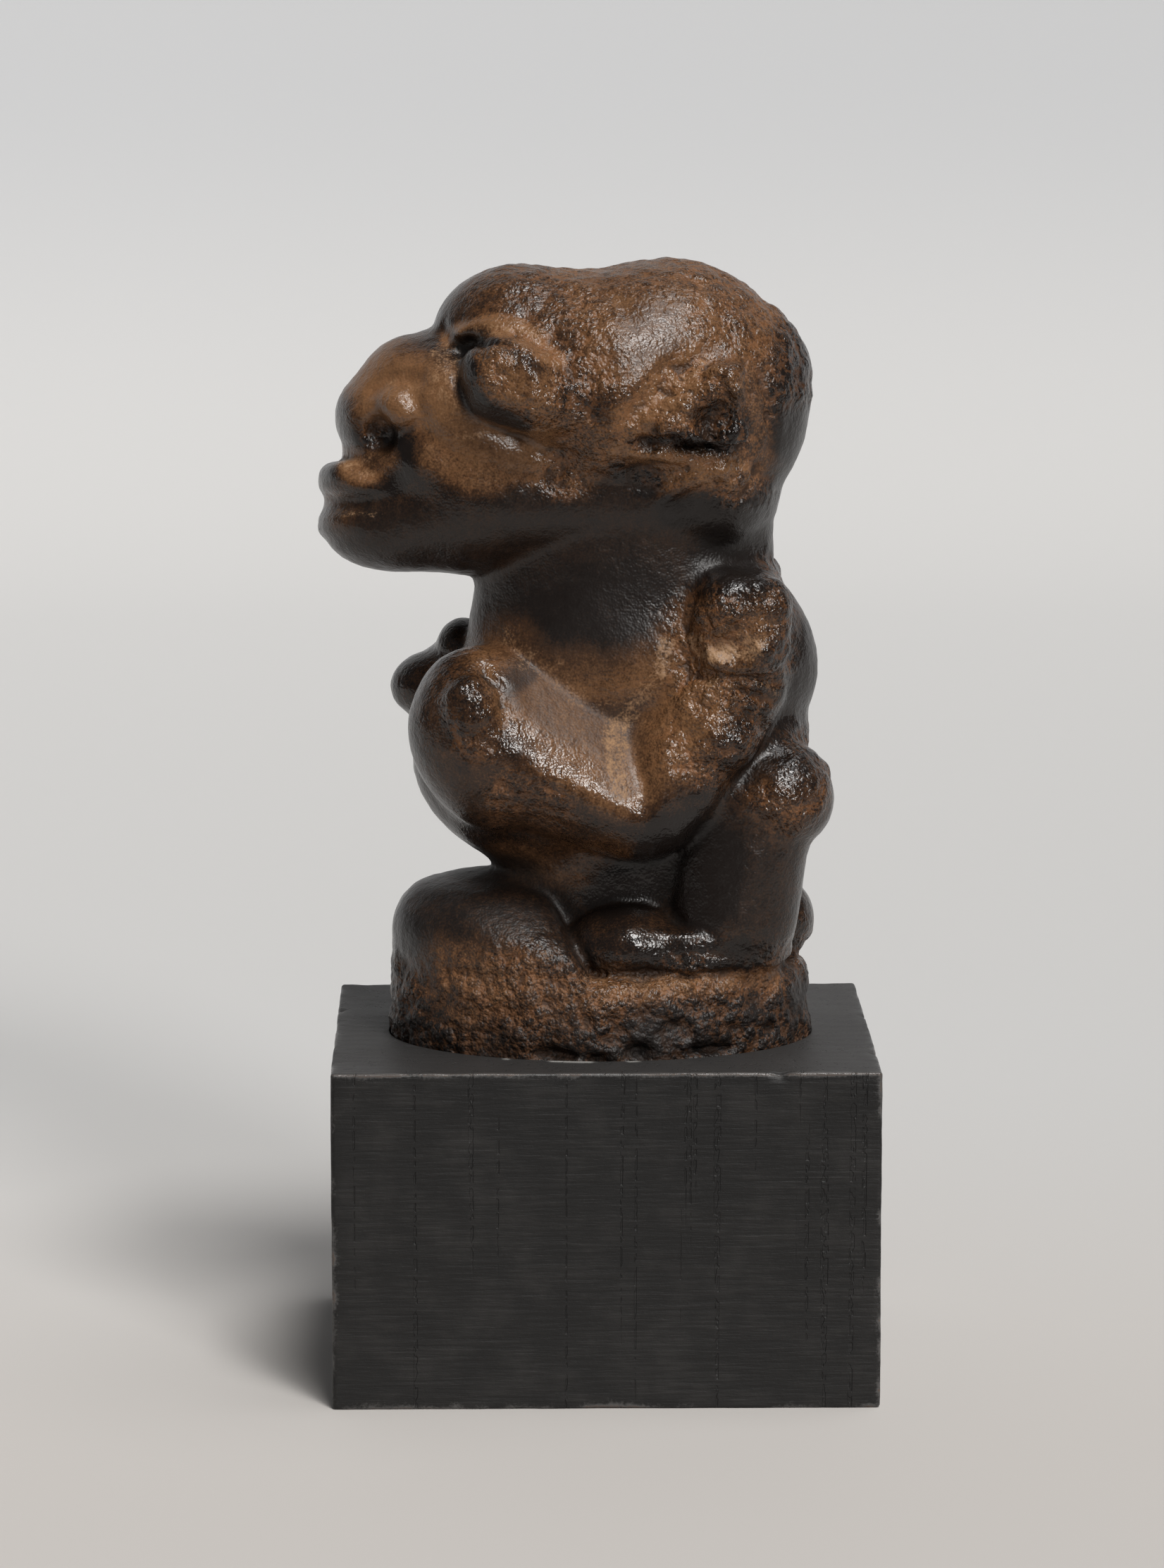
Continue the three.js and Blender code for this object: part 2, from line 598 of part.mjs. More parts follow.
// Closes up the edges that matter least until the wanted number of triangles is left
function thin({ points, faces }, wanted, weightAt) {
  const forms = points.map(() => new Array(10).fill(0));
  const touching = points.map(() => new Set());
  const version = new Int32Array(points.length);
  faces.forEach((face, n) => {
    const form = planeForm(face, points, weightAt(points[face[0]]));
    for (const p of face) {
      touching[p].add(n);
      form.forEach((v, i) => (forms[p][i] += v));
    }
  });
  const queue = new Queue();
  const neighbours = (p) => {
    const found = new Set();
    for (const n of touching[p]) for (const q of faces[n]) if (q !== p) found.add(q);
    return found;
  };
  const offer = (p, q) => {
    const form = forms[p].map((v, i) => v + forms[q][i]);
    const middle = points[p].map((v, i) => (v + points[q][i]) / 2);
    const choices = [middle, points[p], points[q]];
    const lowest = lowestPoint(form);
    const length = hypot(...points[p].map((v, i) => v - points[q][i]));
    if (lowest && hypot(...lowest.map((v, i) => v - middle[i])) < 1.5 * length) choices.push(lowest);
    let best = null;
    for (const place of choices) {
      const cost = formValue(form, place);
      if (!best || cost < best.cost) best = { cost, place };
    }
    const cost = max(best.cost, 0) + 1e-4 * length * length;
    queue.push({ cost, place: best.place, p, q, then: version[p] + version[q] });
  };
  const facing = (face, moved, place) => {
    const [a, b, c] = face.map((n) => new THREE.Vector3(...(moved.includes(n) ? place : points[n])));
    const longest = max(a.distanceTo(b), b.distanceTo(c), c.distanceTo(a));
    return { normal: b.sub(a).cross(c.sub(a)), longest };
  };
  const allowed = ({ p, q, place }) => {
    const shared = [...neighbours(p)].filter((n) => neighbours(q).has(n));
    if (shared.length !== 2) return false;
    for (const n of new Set([...touching[p], ...touching[q]])) {
      if (faces[n].includes(p) && faces[n].includes(q)) continue;
      const before = facing(faces[n], [], place);
      const after = facing(faces[n], [p, q], place);
      const turn = before.normal.dot(after.normal);
      if (turn < 0.4 * before.normal.length() * after.normal.length()) return false;
      if (after.normal.length() < 0.08 * after.longest ** 2) return false;
    }
    return true;
  };
  for (let p = 0; p < points.length; p++) for (const q of neighbours(p)) if (p < q) offer(p, q);
  let left = faces.length;
  while (left > wanted && queue.items.length) {
    const edge = queue.pop();
    const { p, q, place } = edge;
    if (!touching[p] || !touching[q] || edge.then !== version[p] + version[q] || !allowed(edge)) continue;
    points[p] = place;
    forms[p] = forms[p].map((v, i) => v + forms[q][i]);
    for (const n of touching[q]) {
      if (faces[n].includes(p)) {
        for (const corner of faces[n]) if (corner !== q) touching[corner].delete(n);
        faces[n] = null;
        left--;
      } else {
        faces[n] = faces[n].map((corner) => (corner === q ? p : corner));
        touching[p].add(n);
      }
    }
    touching[q] = null;
    version[p]++;
    for (const n of neighbours(p)) {
      version[n]++;
      offer(p, n);
    }
    for (const n of neighbours(p)) for (const m of neighbours(n)) if (m !== p) offer(n, m);
  }
  const kept = faces.filter(Boolean);
  return { points, faces: kept };
}

// three.js geometry to a solid and back
function toSolid(geometry) {
  const bare = geometry.clone();
  bare.deleteAttribute("normal");
  bare.deleteAttribute("uv");
  const merged = mergeVertices(bare, 1e-4);
  const vertProperties = merged.attributes.position.array;
  const triVerts = new Uint32Array(merged.index.array);
  return new wasm.Manifold(new wasm.Mesh({ numProp: 3, vertProperties, triVerts }));
}

function toGeometry(solid) {
  const { vertProperties, triVerts } = solid.getMesh();
  const geometry = new THREE.BufferGeometry();
  geometry.setAttribute("position", new THREE.BufferAttribute(new Float32Array(vertProperties), 3));
  geometry.setIndex(new THREE.BufferAttribute(new Uint32Array(triVerts), 1));
  geometry.computeVertexNormals();
  return geometry;
}

function surfaceGeometry({ points, faces }) {
  const geometry = new THREE.BufferGeometry();
  const used = [...new Set(faces.flat())];
  const place = new Map(used.map((p, n) => [p, n]));
  geometry.setAttribute("position", new THREE.Float32BufferAttribute(used.flatMap((p) => points[p]), 3));
  geometry.setIndex(faces.flat().map((p) => place.get(p)));
  return geometry;
}

function makeFigure() {
  const block = new Block([-72, -46, -6], [60, 46, 194], gridStep);
  carveBase(block);
  carveTrunk(block);
  for (const side of [-1, 1]) {
    carveLeg(block, side);
    carveArm(block, side);
  }
  block.add(egg(farHand), 1.5);
  block.add(egg(farKnob), 1.5);
  carveHead(block);
  for (const side of [-1, 1]) {
    carveEye(block, side);
    carveEar(block, side);
  }
  block.cut(slab({ at: [0, 0, -23.5], half: [90, 60, 20], rim: 0.1 }), 0.1);
  settle(block);
  const onHead = ([x, , z]) => (z > 115 || (x < -15 && z > 60) ? finestDetail : 1);
  const surface = thin(drawSurface(block), stoneTriangles, onHead);
  const floor = new THREE.BoxGeometry(200, 200, 40).translate(0, 0, -20);
  return toGeometry(toSolid(surfaceGeometry(surface)).subtract(toSolid(floor)));
}

function makeBlock() {
  const wood = new THREE.BoxGeometry(blockWidth, blockDepth, blockHeight).translate(0, 0, blockHeight / 2);
  const oval = new THREE.Shape();
  const [length, width] = base.half;
  oval.absellipse(base.at[0], figureY, length + recessPlay, width + recessPlay, 0, 2 * Math.PI);
  const recess = new THREE.ExtrudeGeometry(oval, {
    depth: recessDepth + 10,
    curveSegments: recessSides,
    bevelEnabled: false,
  }).translate(0, 0, blockHeight - recessDepth);
  return toGeometry(toSolid(wood).subtract(toSolid(recess)));
}

const stone = new THREE.MeshStandardMaterial({ color: 0x3a2a1e, roughness: 0.42, metalness: 0 });
const paintedWood = new THREE.MeshStandardMaterial({ color: 0x232221, roughness: 0.6, metalness: 0 });

const figure = new THREE.Mesh(makeFigure(), stone);
figure.name = "stone_figure";
figure.position.set(0, figureY, blockHeight - recessDepth + seatGap);

const plinth = new THREE.Mesh(makeBlock(), paintedWood);
plinth.name = "wood_plinth";

const nomoli = new THREE.Group();
nomoli.name = "nomoli_figure";
nomoli.add(plinth, figure);

export default nomoli;
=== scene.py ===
# A crouching soapstone figure let into its black-painted wooden block.
# Shapes are worked out in millimetres and turned into metres when a mesh is made.
import functools
import itertools
import math
import time

import bpy
import numpy as np
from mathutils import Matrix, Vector


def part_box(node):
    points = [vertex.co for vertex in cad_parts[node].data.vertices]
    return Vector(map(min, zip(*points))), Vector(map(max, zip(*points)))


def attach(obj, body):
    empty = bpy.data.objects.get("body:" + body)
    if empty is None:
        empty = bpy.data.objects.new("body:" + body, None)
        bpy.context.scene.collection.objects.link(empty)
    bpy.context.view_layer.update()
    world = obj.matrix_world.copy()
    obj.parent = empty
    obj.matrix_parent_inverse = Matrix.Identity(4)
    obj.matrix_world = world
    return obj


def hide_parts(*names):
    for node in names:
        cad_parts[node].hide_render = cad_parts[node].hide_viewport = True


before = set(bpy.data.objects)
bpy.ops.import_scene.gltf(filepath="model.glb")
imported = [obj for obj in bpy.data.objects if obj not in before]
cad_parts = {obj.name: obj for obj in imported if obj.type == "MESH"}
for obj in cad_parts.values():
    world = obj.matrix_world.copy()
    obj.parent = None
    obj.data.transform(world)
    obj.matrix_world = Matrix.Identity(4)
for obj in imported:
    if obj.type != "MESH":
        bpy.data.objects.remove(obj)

startTime = time.time()
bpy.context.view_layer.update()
mm = 0.001


def report(stage):
    print(f"{time.time() - startTime:6.1f} s  {stage}")


# The camera stands where the photographer's did, worked out from the block's corners
camera = {
    "place": (-25.8, -1350.4, 354.8),  # mm
    "turn": 0.893,  # degrees towards +X
    "down": 9.251,  # degrees
    "lens": 135.85,  # mm, for a 36 mm frame
}

studio = {
    "floorFront": 430,  # mm of floor before the middle of the block
    "floorBack": 1300,  # and behind it, before the backdrop begins to rise
    "sweep": 1100,  # radius of the rise
    "wallHeight": 2600,
    "halfWidth": 4000,
    "frontColour": (0.580, 0.553, 0.528),  # of the floor before the block
    "backColour": (0.598, 0.593, 0.586),  # of the floor behind it
    "wallColour": (0.503, 0.507, 0.515),
    "fadeRight": 0.05,  # painted shade: how much the backdrop darkens towards the right
    "skyColour": (0.97, 0.98, 1.0),
    "skyStrength": 0.075,
    "lights": {  # degrees from the camera towards +X, degrees up, spread in degrees, strength
        "keyLight": {"round": 24, "up": 60, "spread": 19, "power": 2.05, "colour": (1.0, 0.985, 0.965)},
        "lowLight": {"round": 26, "up": 27, "spread": 13, "power": 1.20, "colour": (1.0, 0.985, 0.965)},
        "backLight": {"round": 100, "up": 77, "spread": 26, "power": 0.55, "colour": (1.0, 1.0, 1.0)},
    },
}

# Numbers for the stone, in mm and degrees. A mass is an egg, limb, slab or column: its middle, half
# its size along x, y and z and its turn about them, or its two ends and its radii there. Paired
# masses are the left side's, at -y. Blend is how softly a form joins the rest, and planes cut it
# back with edges that soft. A groove or ridge on the side is x, z, the tool's radius and how deep or
# proud it runs; a lump or dent is at x and z and stands out or goes in by so much.
stoneFigure = {
    "step": 1.0,  # of the carving grid
    "room": ((-72, -46, -6), (60, 46, 194)),  # two corners of the grid
    "standsAt": -3.0,  # its middle across the block
    "base": {"shape": "column", "at": (-0.5, 0, 8), "half": (48.1, 35.2, 17.6), "rim": 5, "blend": 3},
    "underside": {
        "shape": "slab", "at": (0, 0, -20), "half": (90, 60, 20), "rim": 0.1, "blend": 0.1, "away": True,
    },
    "footChips": (  # x and z, half size, how deep
        ((-12, 8.8), (7, 5, 1.9), 3.2), ((-2, 7.8), (4, 4, 2), 2.4), ((7.4, 9.4), (3.4, 4, 2.2), 2.8),
        ((27, 9.2), (8.6, 5, 2), 3), ((38, 12), (3, 4, 2.4), 1.6), ((16, 15), (3.6, 4, 2.6), 1.2),
        ((-28, 13), (5, 4, 2.4), 1),
    ),
    "chipBlend": 0.8,
    "boss": {
        "shape": "column", "at": (-0.5, 0, 21), "half": (48.3, 34.8, 22.6), "rim": 12, "blend": 2,
        "planes": ("bossEnd", "bossShoulder"), "edge": 4,
    },
    "bossEnd": {"at": (-9.5, 0, 36), "faces": (0.86, 0, 0.5)},
    "bossShoulder": {"at": (-30, -30, 37), "faces": (0.12, -0.58, 0.8)},
    "bossSlope": {"at": (-24, 0, 38), "half": (15, 17, 7.6), "blend": 3},
    "waist": {"from": (6, 0, 22), "to": (6, 0, 60), "radii": (29, 30), "flat": 0.62, "blend": 3},
    "belly": {"at": (-9.5, 0, 72.5), "half": (34.4, 26, 27.3), "blend": 4},
    "chest": {"at": (8, 0, 91), "half": (39.5, 24, 34), "blend": 6},
    "neck": {"from": (5, 0, 100), "to": (5, 0, 130), "radii": (34.8, 33.4), "flat": 0.69, "blend": 6},
    "shoulderBlades": {"at": (15.6, 0, 94), "half": (33.2, 26, 24), "blend": 5},
    "smallOfBack": {"at": (31.6, 0, 77), "half": (16.2, 22, 11), "blend": 3},
    "shin": {
        "from": (33, -14.5, 62), "to": (29.4, -15.5, 38), "radii": (14.6, 15), "flat": 0.97, "blend": 6,
    },
    "buttock": {"at": (40.2, -15.5, 65.3), "half": (12.4, 14.5, 12.3), "blend": 2.5},
    "farButtock": {"at": (38.8, 14, 61.5), "half": (11.6, 14.5, 10.5), "blend": 2.5},
    "foot": {
        "shape": "column", "at": (17, -13.5, 30.8), "half": (26.5, 17.3, 5.4), "turn": (0, -1.5, 0),
        "rim": 3.4, "blend": 1, "planes": ("toeEnd",), "edge": 1,
    },
    "toeEnd": {"at": (-8, -20, 31), "faces": (-0.9, -0.42, 0.1)},
    "toes": {"at": (5.5, -18.5, 31.8), "half": (13.6, 14, 8.8), "blend": 2},
    "underFoot": {"blend": 0.8, "groove": (
        (-7, 27.6, 1, 0.8), (5, 26.8, 1.2, 1.3), (20, 26.5, 1.2, 1.3), (31, 27, 1, 0.8),
    )},
    "overToes": {"at": (8, -38, 49), "half": (14, 15, 7), "turn": (0, 12, 0), "blend": 2, "away": True},
    "farHeel": {"at": (40.9, 13, 32), "half": (8.8, 12, 9.4), "blend": 1.5},
    "shoulder": {
        "shape": "slab", "at": (30.5, -19.4, 106.4), "half": (10.4, 14, 11), "turn": (0, 6, 8), "rim": 6.5,
        "blend": 4.5,
    },
    "upperArm": {
        "from": (29.5, -19.5, 92), "to": (15.5, -20.5, 70.5), "radii": (12, 13.5), "blend": 2,
        "planes": ("armInside",), "edge": 2,
    },
    "armInside": {"at": (5.5, -24.5, 83), "faces": (-0.62, -0.74, 0.32)},
    "elbow": {
        "at": (10, -20.5, 68.5), "half": (12, 16.3, 15), "blend": 2, "planes": ("armInside",), "edge": 2,
    },
    "overElbow": {"lump": (26.5, 81), "half": (8, 6, 7), "by": 2, "blend": 3, "lean": 30},
    "forearm": {
        "from": (7.5, -20.5, 67.6), "to": (-26, -18, 81), "radii": (16.6, 18.4), "blend": 1.2,
        "planes": ("forearmTop",), "edge": 4,
    },
    "forearmTop": {"at": (-7, -36.3, 73), "faces": (0.285, -0.761, 0.583)},
    "hand": {
        "at": (-27.6, -17, 78.5), "half": (15.6, 17.5, 21), "turn": (0, -14, 0), "blend": 2.5,
        "planes": ("handTop",), "edge": 3,
    },
    "handTop": {"at": (-30, -20, 99.2), "faces": (0.15, -0.35, 1)},
    "farHand": {"at": (-38, 14, 86.5), "half": (10.8, 12, 8.2), "blend": 1.5},
    "farKnob": {"at": (-32.8, 12, 96.2), "half": (5.3, 8, 6.4), "turn": (0, 25, 0), "blend": 1.5},
    "skull": {"at": (15, 0, 155), "half": (32.4, 30.5, 30.9), "turn": (0, 25, 0), "blend": 4},
    "skullCorner": {"at": (29.6, 0, 161), "half": (17.8, 20, 15), "blend": 3},
    "temples": {"at": (3, 0, 156.5), "half": (28, 34, 26.5), "blend": 4},
    "forehead": {"at": (-10, 0, 160), "half": (25, 28.5, 24), "blend": 4},
    "cap": {"at": (-18.6, 0, 168), "half": (20.3, 23, 17.3), "blend": 1},
    "jawRoot": {"from": (-30, 0, 133.5), "to": (24, 0, 134.5), "radii": (17, 16), "flat": 1.56, "blend": 2},
    "cheeks": {"at": (-28, 0, 141), "half": (31.8, 26.5, 26.5), "blend": 3},
    "jaw": {"at": (-34, 0, 129.5), "half": (30, 24.5, 14), "blend": 2},
    "chin": {"at": (-46.4, 0, 125), "half": (17.6, 21, 9.8), "blend": 2},
    "faceSides": {"at": (-22, 0, 157.2), "half": (30.5, 29.5, 15.6), "blend": 3},
    "noseTop": {"from": (-32, 0, 163), "to": (-43, 0, 157.8), "radii": (8.6, 11), "flat": 1.75, "blend": 2},
    "noseTip": {
        "from": (-43.2, 0, 157.8), "to": (-50, 0, 149.9), "radii": (11.4, 11.2), "flat": 1.7, "blend": 0.4,
    },
    "noseWing": {"at": (-45.4, -17.2, 154), "half": (6, 7.4, 5.2), "turn": (0, 25, 0), "blend": 1.6},
    "overWing": {"blend": 1.5, "groove": (
        (-53, 158.4, 1.6, 0.4), (-48.5, 161.4, 1.8, 0.9), (-43, 161.4, 1.8, 1), (-38.6, 158.6, 1.8, 0.9),
        (-37, 155, 1.6, 0.4),
    )},
    "nostril": {
        "at": (-51.8, -19.8, 148), "half": (4.7, 6, 5.2), "turn": (0, 0, -15), "blend": 1.8, "away": True,
    },
    "cheekLump": {"lump": (-39.5, 142.5), "half": (5.5, 4.5, 5), "by": 0.9, "blend": 3},
    "upperLip": {
        "shape": "column", "at": (-48.6, 0, 136), "half": (16.7, 21, 4.4), "turn": (-7, 0, 0), "rim": 3.8,
        "blend": 1, "planes": ("upperLipSlope",), "edge": 1,
    },
    "upperLipSlope": {"at": (-56, -18, 138), "faces": (-0.1, -0.62, 0.78)},
    "lowerLip": {
        "shape": "column", "at": (-48.6, 0, 125.9), "half": (16.7, 21, 3), "turn": (-7, 0, 0), "rim": 2.2,
        "blend": 1.2,
    },
    "eyeball": {
        "at": (-21.4, -24.5, 160), "half": (12.3, 16.5, 10.6), "turn": (0, 42, 4), "blend": 0.4,
        "planes": ("eyeFront", "eyeUnder", "eyeLeft"), "edge": 2.4,
    },
    "eyeFront": {"at": (-20, -36.6, 161), "faces": (-0.04, -1, 0.1)},
    "eyeUnder": {"at": (-22, -36.6, 157), "faces": (-0.18, -0.58, -0.79)},
    "eyeLeft": {"at": (-28.6, -36.4, 162), "faces": (-0.86, -0.5, -0.08)},
    "eyeCorner": {"at": (-13, -26.5, 157.5), "half": (10, 9, 9), "turn": (0, 42, 0), "blend": 3},
    "brow": {"blend": 1.4, "ridge": (
        (-34.6, 169, 1.5, 0.9), (-31, 171.4, 1.8, 1.6), (-25.5, 172.6, 2, 1.9), (-20, 171.8, 2, 1.7),
        (-15.5, 169.4, 1.9, 1.2), (-12.6, 165.5, 1.7, 0.4),
    )},
    "underEye": {"blend": 3, "ridge": (
        (-37.5, 157, 4, 0.7), (-34.8, 151.6, 4.6, 1.1), (-29, 147.4, 5, 1.3), (-22, 144.9, 5, 1.2),
        (-15, 144.4, 4.4, 0.6),
    )},
    "roundEye": {"blend": 1.2, "groove": (
        (-32.6, 166, 1, 0.5), (-33.3, 162, 1.1, 0.8), (-32.6, 158.6, 1.2, 0.9), (-30.2, 155.6, 1.2, 0.9),
        (-27.6, 152.6, 1.2, 0.9), (-24.4, 150.2, 1.1, 0.7), (-19.5, 148.8, 1, 0.3),
    )},
    "underBrow": {"blend": 0.6, "groove": (
        (-33.4, 167.6, 1.3, 1.3), (-30.6, 168.8, 1.5, 2.2), (-27, 169.8, 1.3, 1.8), (-23, 169.6, 1.1, 1.3),
        (-18.6, 168, 1, 0.6),
    )},
    "eyeInnerCorner": {"dent": (-32.6, 167.6), "half": (2.2, 3, 2.2), "by": 2, "blend": 0.6, "lean": 35},
    "capEdge": {"blend": 1.5, "groove": (
        (-37, 171.5, 1.6, 0.4), (-35.2, 168.4, 1.6, 0.8), (-34.5, 165, 1.6, 0.4),
    )},
    "earPlate": {
        "plate": (20, 156.5), "half": (10.4, 8, 9), "by": 3.3, "rim": 1.4, "blend": 0.8, "lean": 0,
        "face": 12,  # degrees turned towards the back
        "pared": (((16, 159.2), (-0.61, 0.3, 0.79)),),  # where, and which way each plane faces
    },
    "earRim": {"blend": 0.8, "ridge": (
        (8.4, 152.6, 1.4, 1), (13, 156.4, 1.8, 1.8), (18.4, 159.8, 2, 2.2), (23.4, 163.4, 2.2, 2.3),
        (28.6, 162.2, 2.2, 1.9), (29.6, 156.7, 1.8, 1.3), (29.4, 150, 1.5, 0.7),
    )},
    "aboveEar": {"blend": 2.5, "groove": (
        (6, 154, 3, 0.5), (12, 160, 3, 1.1), (18, 165.5, 3, 1.1), (26, 168.5, 2.4, 0.5),
    )},
    "earHollow": {"dent": (24.6, 152.4), "half": (5.6, 4, 4.4), "by": 3.4, "blend": 0.8},
    "earFold": {"lump": (23.5, 158.6), "half": (2.4, 3, 3), "by": 0.9, "blend": 0.8, "lean": -35},
    "underEar": {"lump": (23, 138.6), "half": (9, 7, 5.6), "by": 1.6, "blend": 2.5, "lean": -12},
    "earLobe": {"blend": 1, "ridge": (
        (1.7, 145.2, 1.3, 0.7), (6.7, 144.6, 1.6, 1.7), (11.2, 145.2, 1.7, 2), (16.8, 144.1, 1.6, 1.8),
        (22.4, 143.2, 1.7, 1.5), (28, 143, 1.5, 0.8),
    )},
    "lobeRidge": {"blend": 1, "ridge": (
        (12.9, 134.6, 1.6, 1.2), (16, 137, 2, 1.8), (19.6, 139.2, 2.2, 1.9), (26, 140.6, 2.2, 1.6),
        (31, 140, 1.8, 1),
    )},
    "earNotch": {"dent": (8.6, 139.4), "half": (4.8, 3, 3.6), "by": 1.7, "blend": 1.2},
    "earSlot": {"blend": 0.8, "groove": (
        (6, 148.2, 1.3, 1), (9, 147.9, 2, 2.2), (14, 148.1, 2, 2.1), (19, 147.3, 2, 2.4),
        (24, 147.2, 1.7, 1.8), (28, 146.9, 1.1, 0.7),
    )},
    "besideEar": {"blend": 0.8, "groove": (
        (30.8, 162.5, 0.9, 1), (30.9, 155, 1, 1.5), (30.5, 148, 0.9, 0.9),
    )},
    "behindEar": {"blend": 1.2, "groove": (
        (33.5, 165, 1.6, 0.6), (36, 160, 1.6, 1.1), (37.3, 155, 1.6, 1.2), (38.4, 149, 1.6, 1),
        (38.4, 144, 1.6, 0.6),
    )},
    "strap": {"groove": ((27, 176, 1.4, 0.2), (29.4, 169, 1.4, 0.35), (31.8, 164, 1.2, 0.4)), "blend": 1.2},
    "roundKnob": {"blend": 2, "groove": (
        (-27, 96, 1.6, 0.4), (-23.4, 91, 2, 0.7), (-22.4, 85, 2, 0.6), (-25, 81, 1.6, 0.3),
    )},
    "wristKnob": {"lump": (-30.6, 87.6), "half": (6.4, 6.4, 7.4), "by": 3, "blend": 1.2, "lean": -10},
    "underKnob": {"lump": (-26, 82), "half": (2.6, 3, 1.8), "by": 0.9, "blend": 1},
    "shoulderDish": {"dent": (27.5, 101), "half": (7, 5, 3.8), "by": 2.4, "blend": 1.5, "lean": -10},
    "shoulderRim": {"blend": 1, "ridge": (
        (21.3, 103.4, 1.4, 0.6), (22.6, 100.8, 1.5, 0.9), (25.8, 98, 1.6, 1.2), (30, 97, 1.6, 1.2),
        (33.6, 97.4, 1.4, 0.8),
    )},
    "shoulderLumps": (
        {"lump": (35, 100.6), "half": (2.2, 3, 2.6), "by": 1.2, "blend": 1},
        {"lump": (33.6, 114.6), "half": (3.4, 3, 2.2), "by": 1, "blend": 1.2},
        {"lump": (22, 108), "half": (2.4, 3, 3), "by": 0.9, "blend": 1},
    ),
    "armCreases": (
        {"groove": ((26, 95.4, 1, 0.7), (33, 94.6, 1.3, 1.5), (38, 93.2, 1.3, 1)), "blend": 0.8},
        {"groove": ((27.5, 92.6, 1, 0.7), (33, 90.6, 1.5, 1.8), (37.6, 88.6, 1.6, 1.3)), "blend": 0.8},
        {"blend": 0.8, "groove": (
            (26, 91, 0.9, 0.5), (30, 88.2, 1, 1), (34, 84.8, 1.1, 1.1), (36, 82, 1, 0.7),
        )},
    ),
    # Painted and weathered places on either side: x and z along a line, radius, strength
    "broken": (  # where the surface is chipped or left coarse
        (((31, 112), (24, 104), (28, 98), (36, 100)), 9, 1), (((25, 93), (28, 86), (22, 80)), 9, 1),
        (((-30, 90), (-28, 84)), 7, 0.6), (((10, 152), (22, 158), (30, 152)), 9, 0.9),
        (((8, 143), (22, 140), (32, 137)), 7, 0.7), (((-22, 163), (-14, 162)), 8, 0.7),
        (((-14, 158), (-4, 166), (-6, 174)), 9, 0.7),
        (((-40, 12), (-20, 18), (0, 13), (20, 16), (44, 14)), 15, 1), (((46, 72), (40, 66)), 8, 0.7),
        (((-20, 182), (0, 184), (14, 182)), 10, 0.4), (((24, 180), (38, 170), (42, 160)), 9, 0.6),
        (((34, 158), (35, 148), (34, 138)), 4, 0.9), (((-12, 170), (-4, 162), (0, 152)), 7, 0.6),
        (((-20, 68), (-14, 66)), 7, 0.6), (((-44, 154),), 6, 0.4), (((-52, 148),), 3, 0.9),
        (((-8, 152), (0, 146), (-12, 140)), 5, 0.7),
    ),
    "smooth": (  # where hands and tools have left it even
        (((-31.5, 164), (-31, 159), (-27, 154.5), (-21, 152)), 2.4, 0.8), (((5, 169), (12, 173)), 7, 0.6),
        (((-38, 160), (-34, 152), (-20, 146)), 5, 0.6),
        (((-52, 124), (-30, 124), (-5, 127), (20, 128)), 9, 1), (((-28, 110), (0, 118), (30, 124)), 9, 1),
        (((-20, 104), (6, 104)), 8, 0.7), (((30, 56), (32, 44)), 10, 0.8), (((42, 150), (42, 140)), 5, 0.7),
        (((47, 108), (48, 92)), 6, 0.7), (((-19, 92), (-8, 86), (3, 80)), 5, 0.6),
        (((-36, 158), (-50, 160)), 9, 0.6),
    ),
    "polished": (  # high places rubbed bright
        (((-21, 80), (-12, 75), (-2, 69.8), (7, 65)), 3.2, 1), (((-29, 91.5), (-27.5, 87)), 5, 1),
        (((-26, 82),), 3, 0.8), (((21, 86), (28, 84)), 5, 1),
        (((31, 115.5), (35, 110), (34, 104)), 3.5, 0.9), (((23, 98.5), (31, 97.6)), 2, 0.9),
        (((8.5, 171),), 6.5, 0.9), (((-19, 165), (-16, 161)), 4, 0.9), (((-43.5, 155.5),), 3.5, 0.9),
        (((14.5, 157), (19.5, 160.5)), 2.6, 1), (((27.5, 162.5),), 2.6, 0.7),
        (((3, 145), (12, 145)), 1.8, 0.8), (((20, 140), (30, 141.5)), 2.4, 0.7),
        (((-36, 153), (-30, 149), (-22, 147), (-15, 147)), 4, 0.6), (((0, 37), (12, 37.5)), 4.5, 1),
        (((40, 73), (45, 70)), 4, 0.6), (((4, 62), (16, 66)), 5, 0.5), (((2, 174), (14, 176)), 5, 0.6),
    ),
    "dull": (  # and low ones left matt
        (((-40, 8), (0, 8), (44, 10)), 12, 1), (((-34, 18), (-14, 22)), 12, 0.8),
        (((-36, 36), (-20, 42)), 10, 0.8), (((10, 22), (40, 22)), 6, 0.5), (((-12, 96), (0, 104)), 8, 0.4),
        (((-17, 91), (-6, 84), (3, 78)), 5, 0.8), (((4, 84), (4, 72)), 4, 0.6),
        (((33, 160), (35, 148), (34, 136)), 4, 0.8), (((-30, 70), (-16, 64)), 6, 0.4),
    ),
    "tone": (  # from dark patina to light brown; the strokes on the dome, the ear's top, the cheek and under the eye also paint highlights
        (((-24, 163), (-18, 158)), 6, 0.75), (((-14, 160), (-12, 152)), 4, 0.7),
        (((-34.4, 169.6), (-31, 172), (-25.5, 173.2), (-20, 172.6), (-15, 170), (-12, 166)), 2.2, 1.15),
        (((-8, 151), (0, 144), (-10, 140)), 5, 0.5), (((-20, 180), (-10, 184)), 14, 0.35),
        (((2, 182), (20, 180), (34, 172)), 16, 0.55), (((18, 172), (6, 170)), 12, 0.8),
        (((-39, 145), (-30, 141), (-16, 142)), 5, 0.8), (((-14, 94), (0, 94), (8, 96)), 7, 0.9),
        (((-20, 50), (-10, 50), (0, 54)), 6, 0.5), (((-40, 157), (-50, 159)), 9, 1.3),
        (((-37, 160), (-35, 152), (-28, 146.5), (-16, 146)), 6, 1),
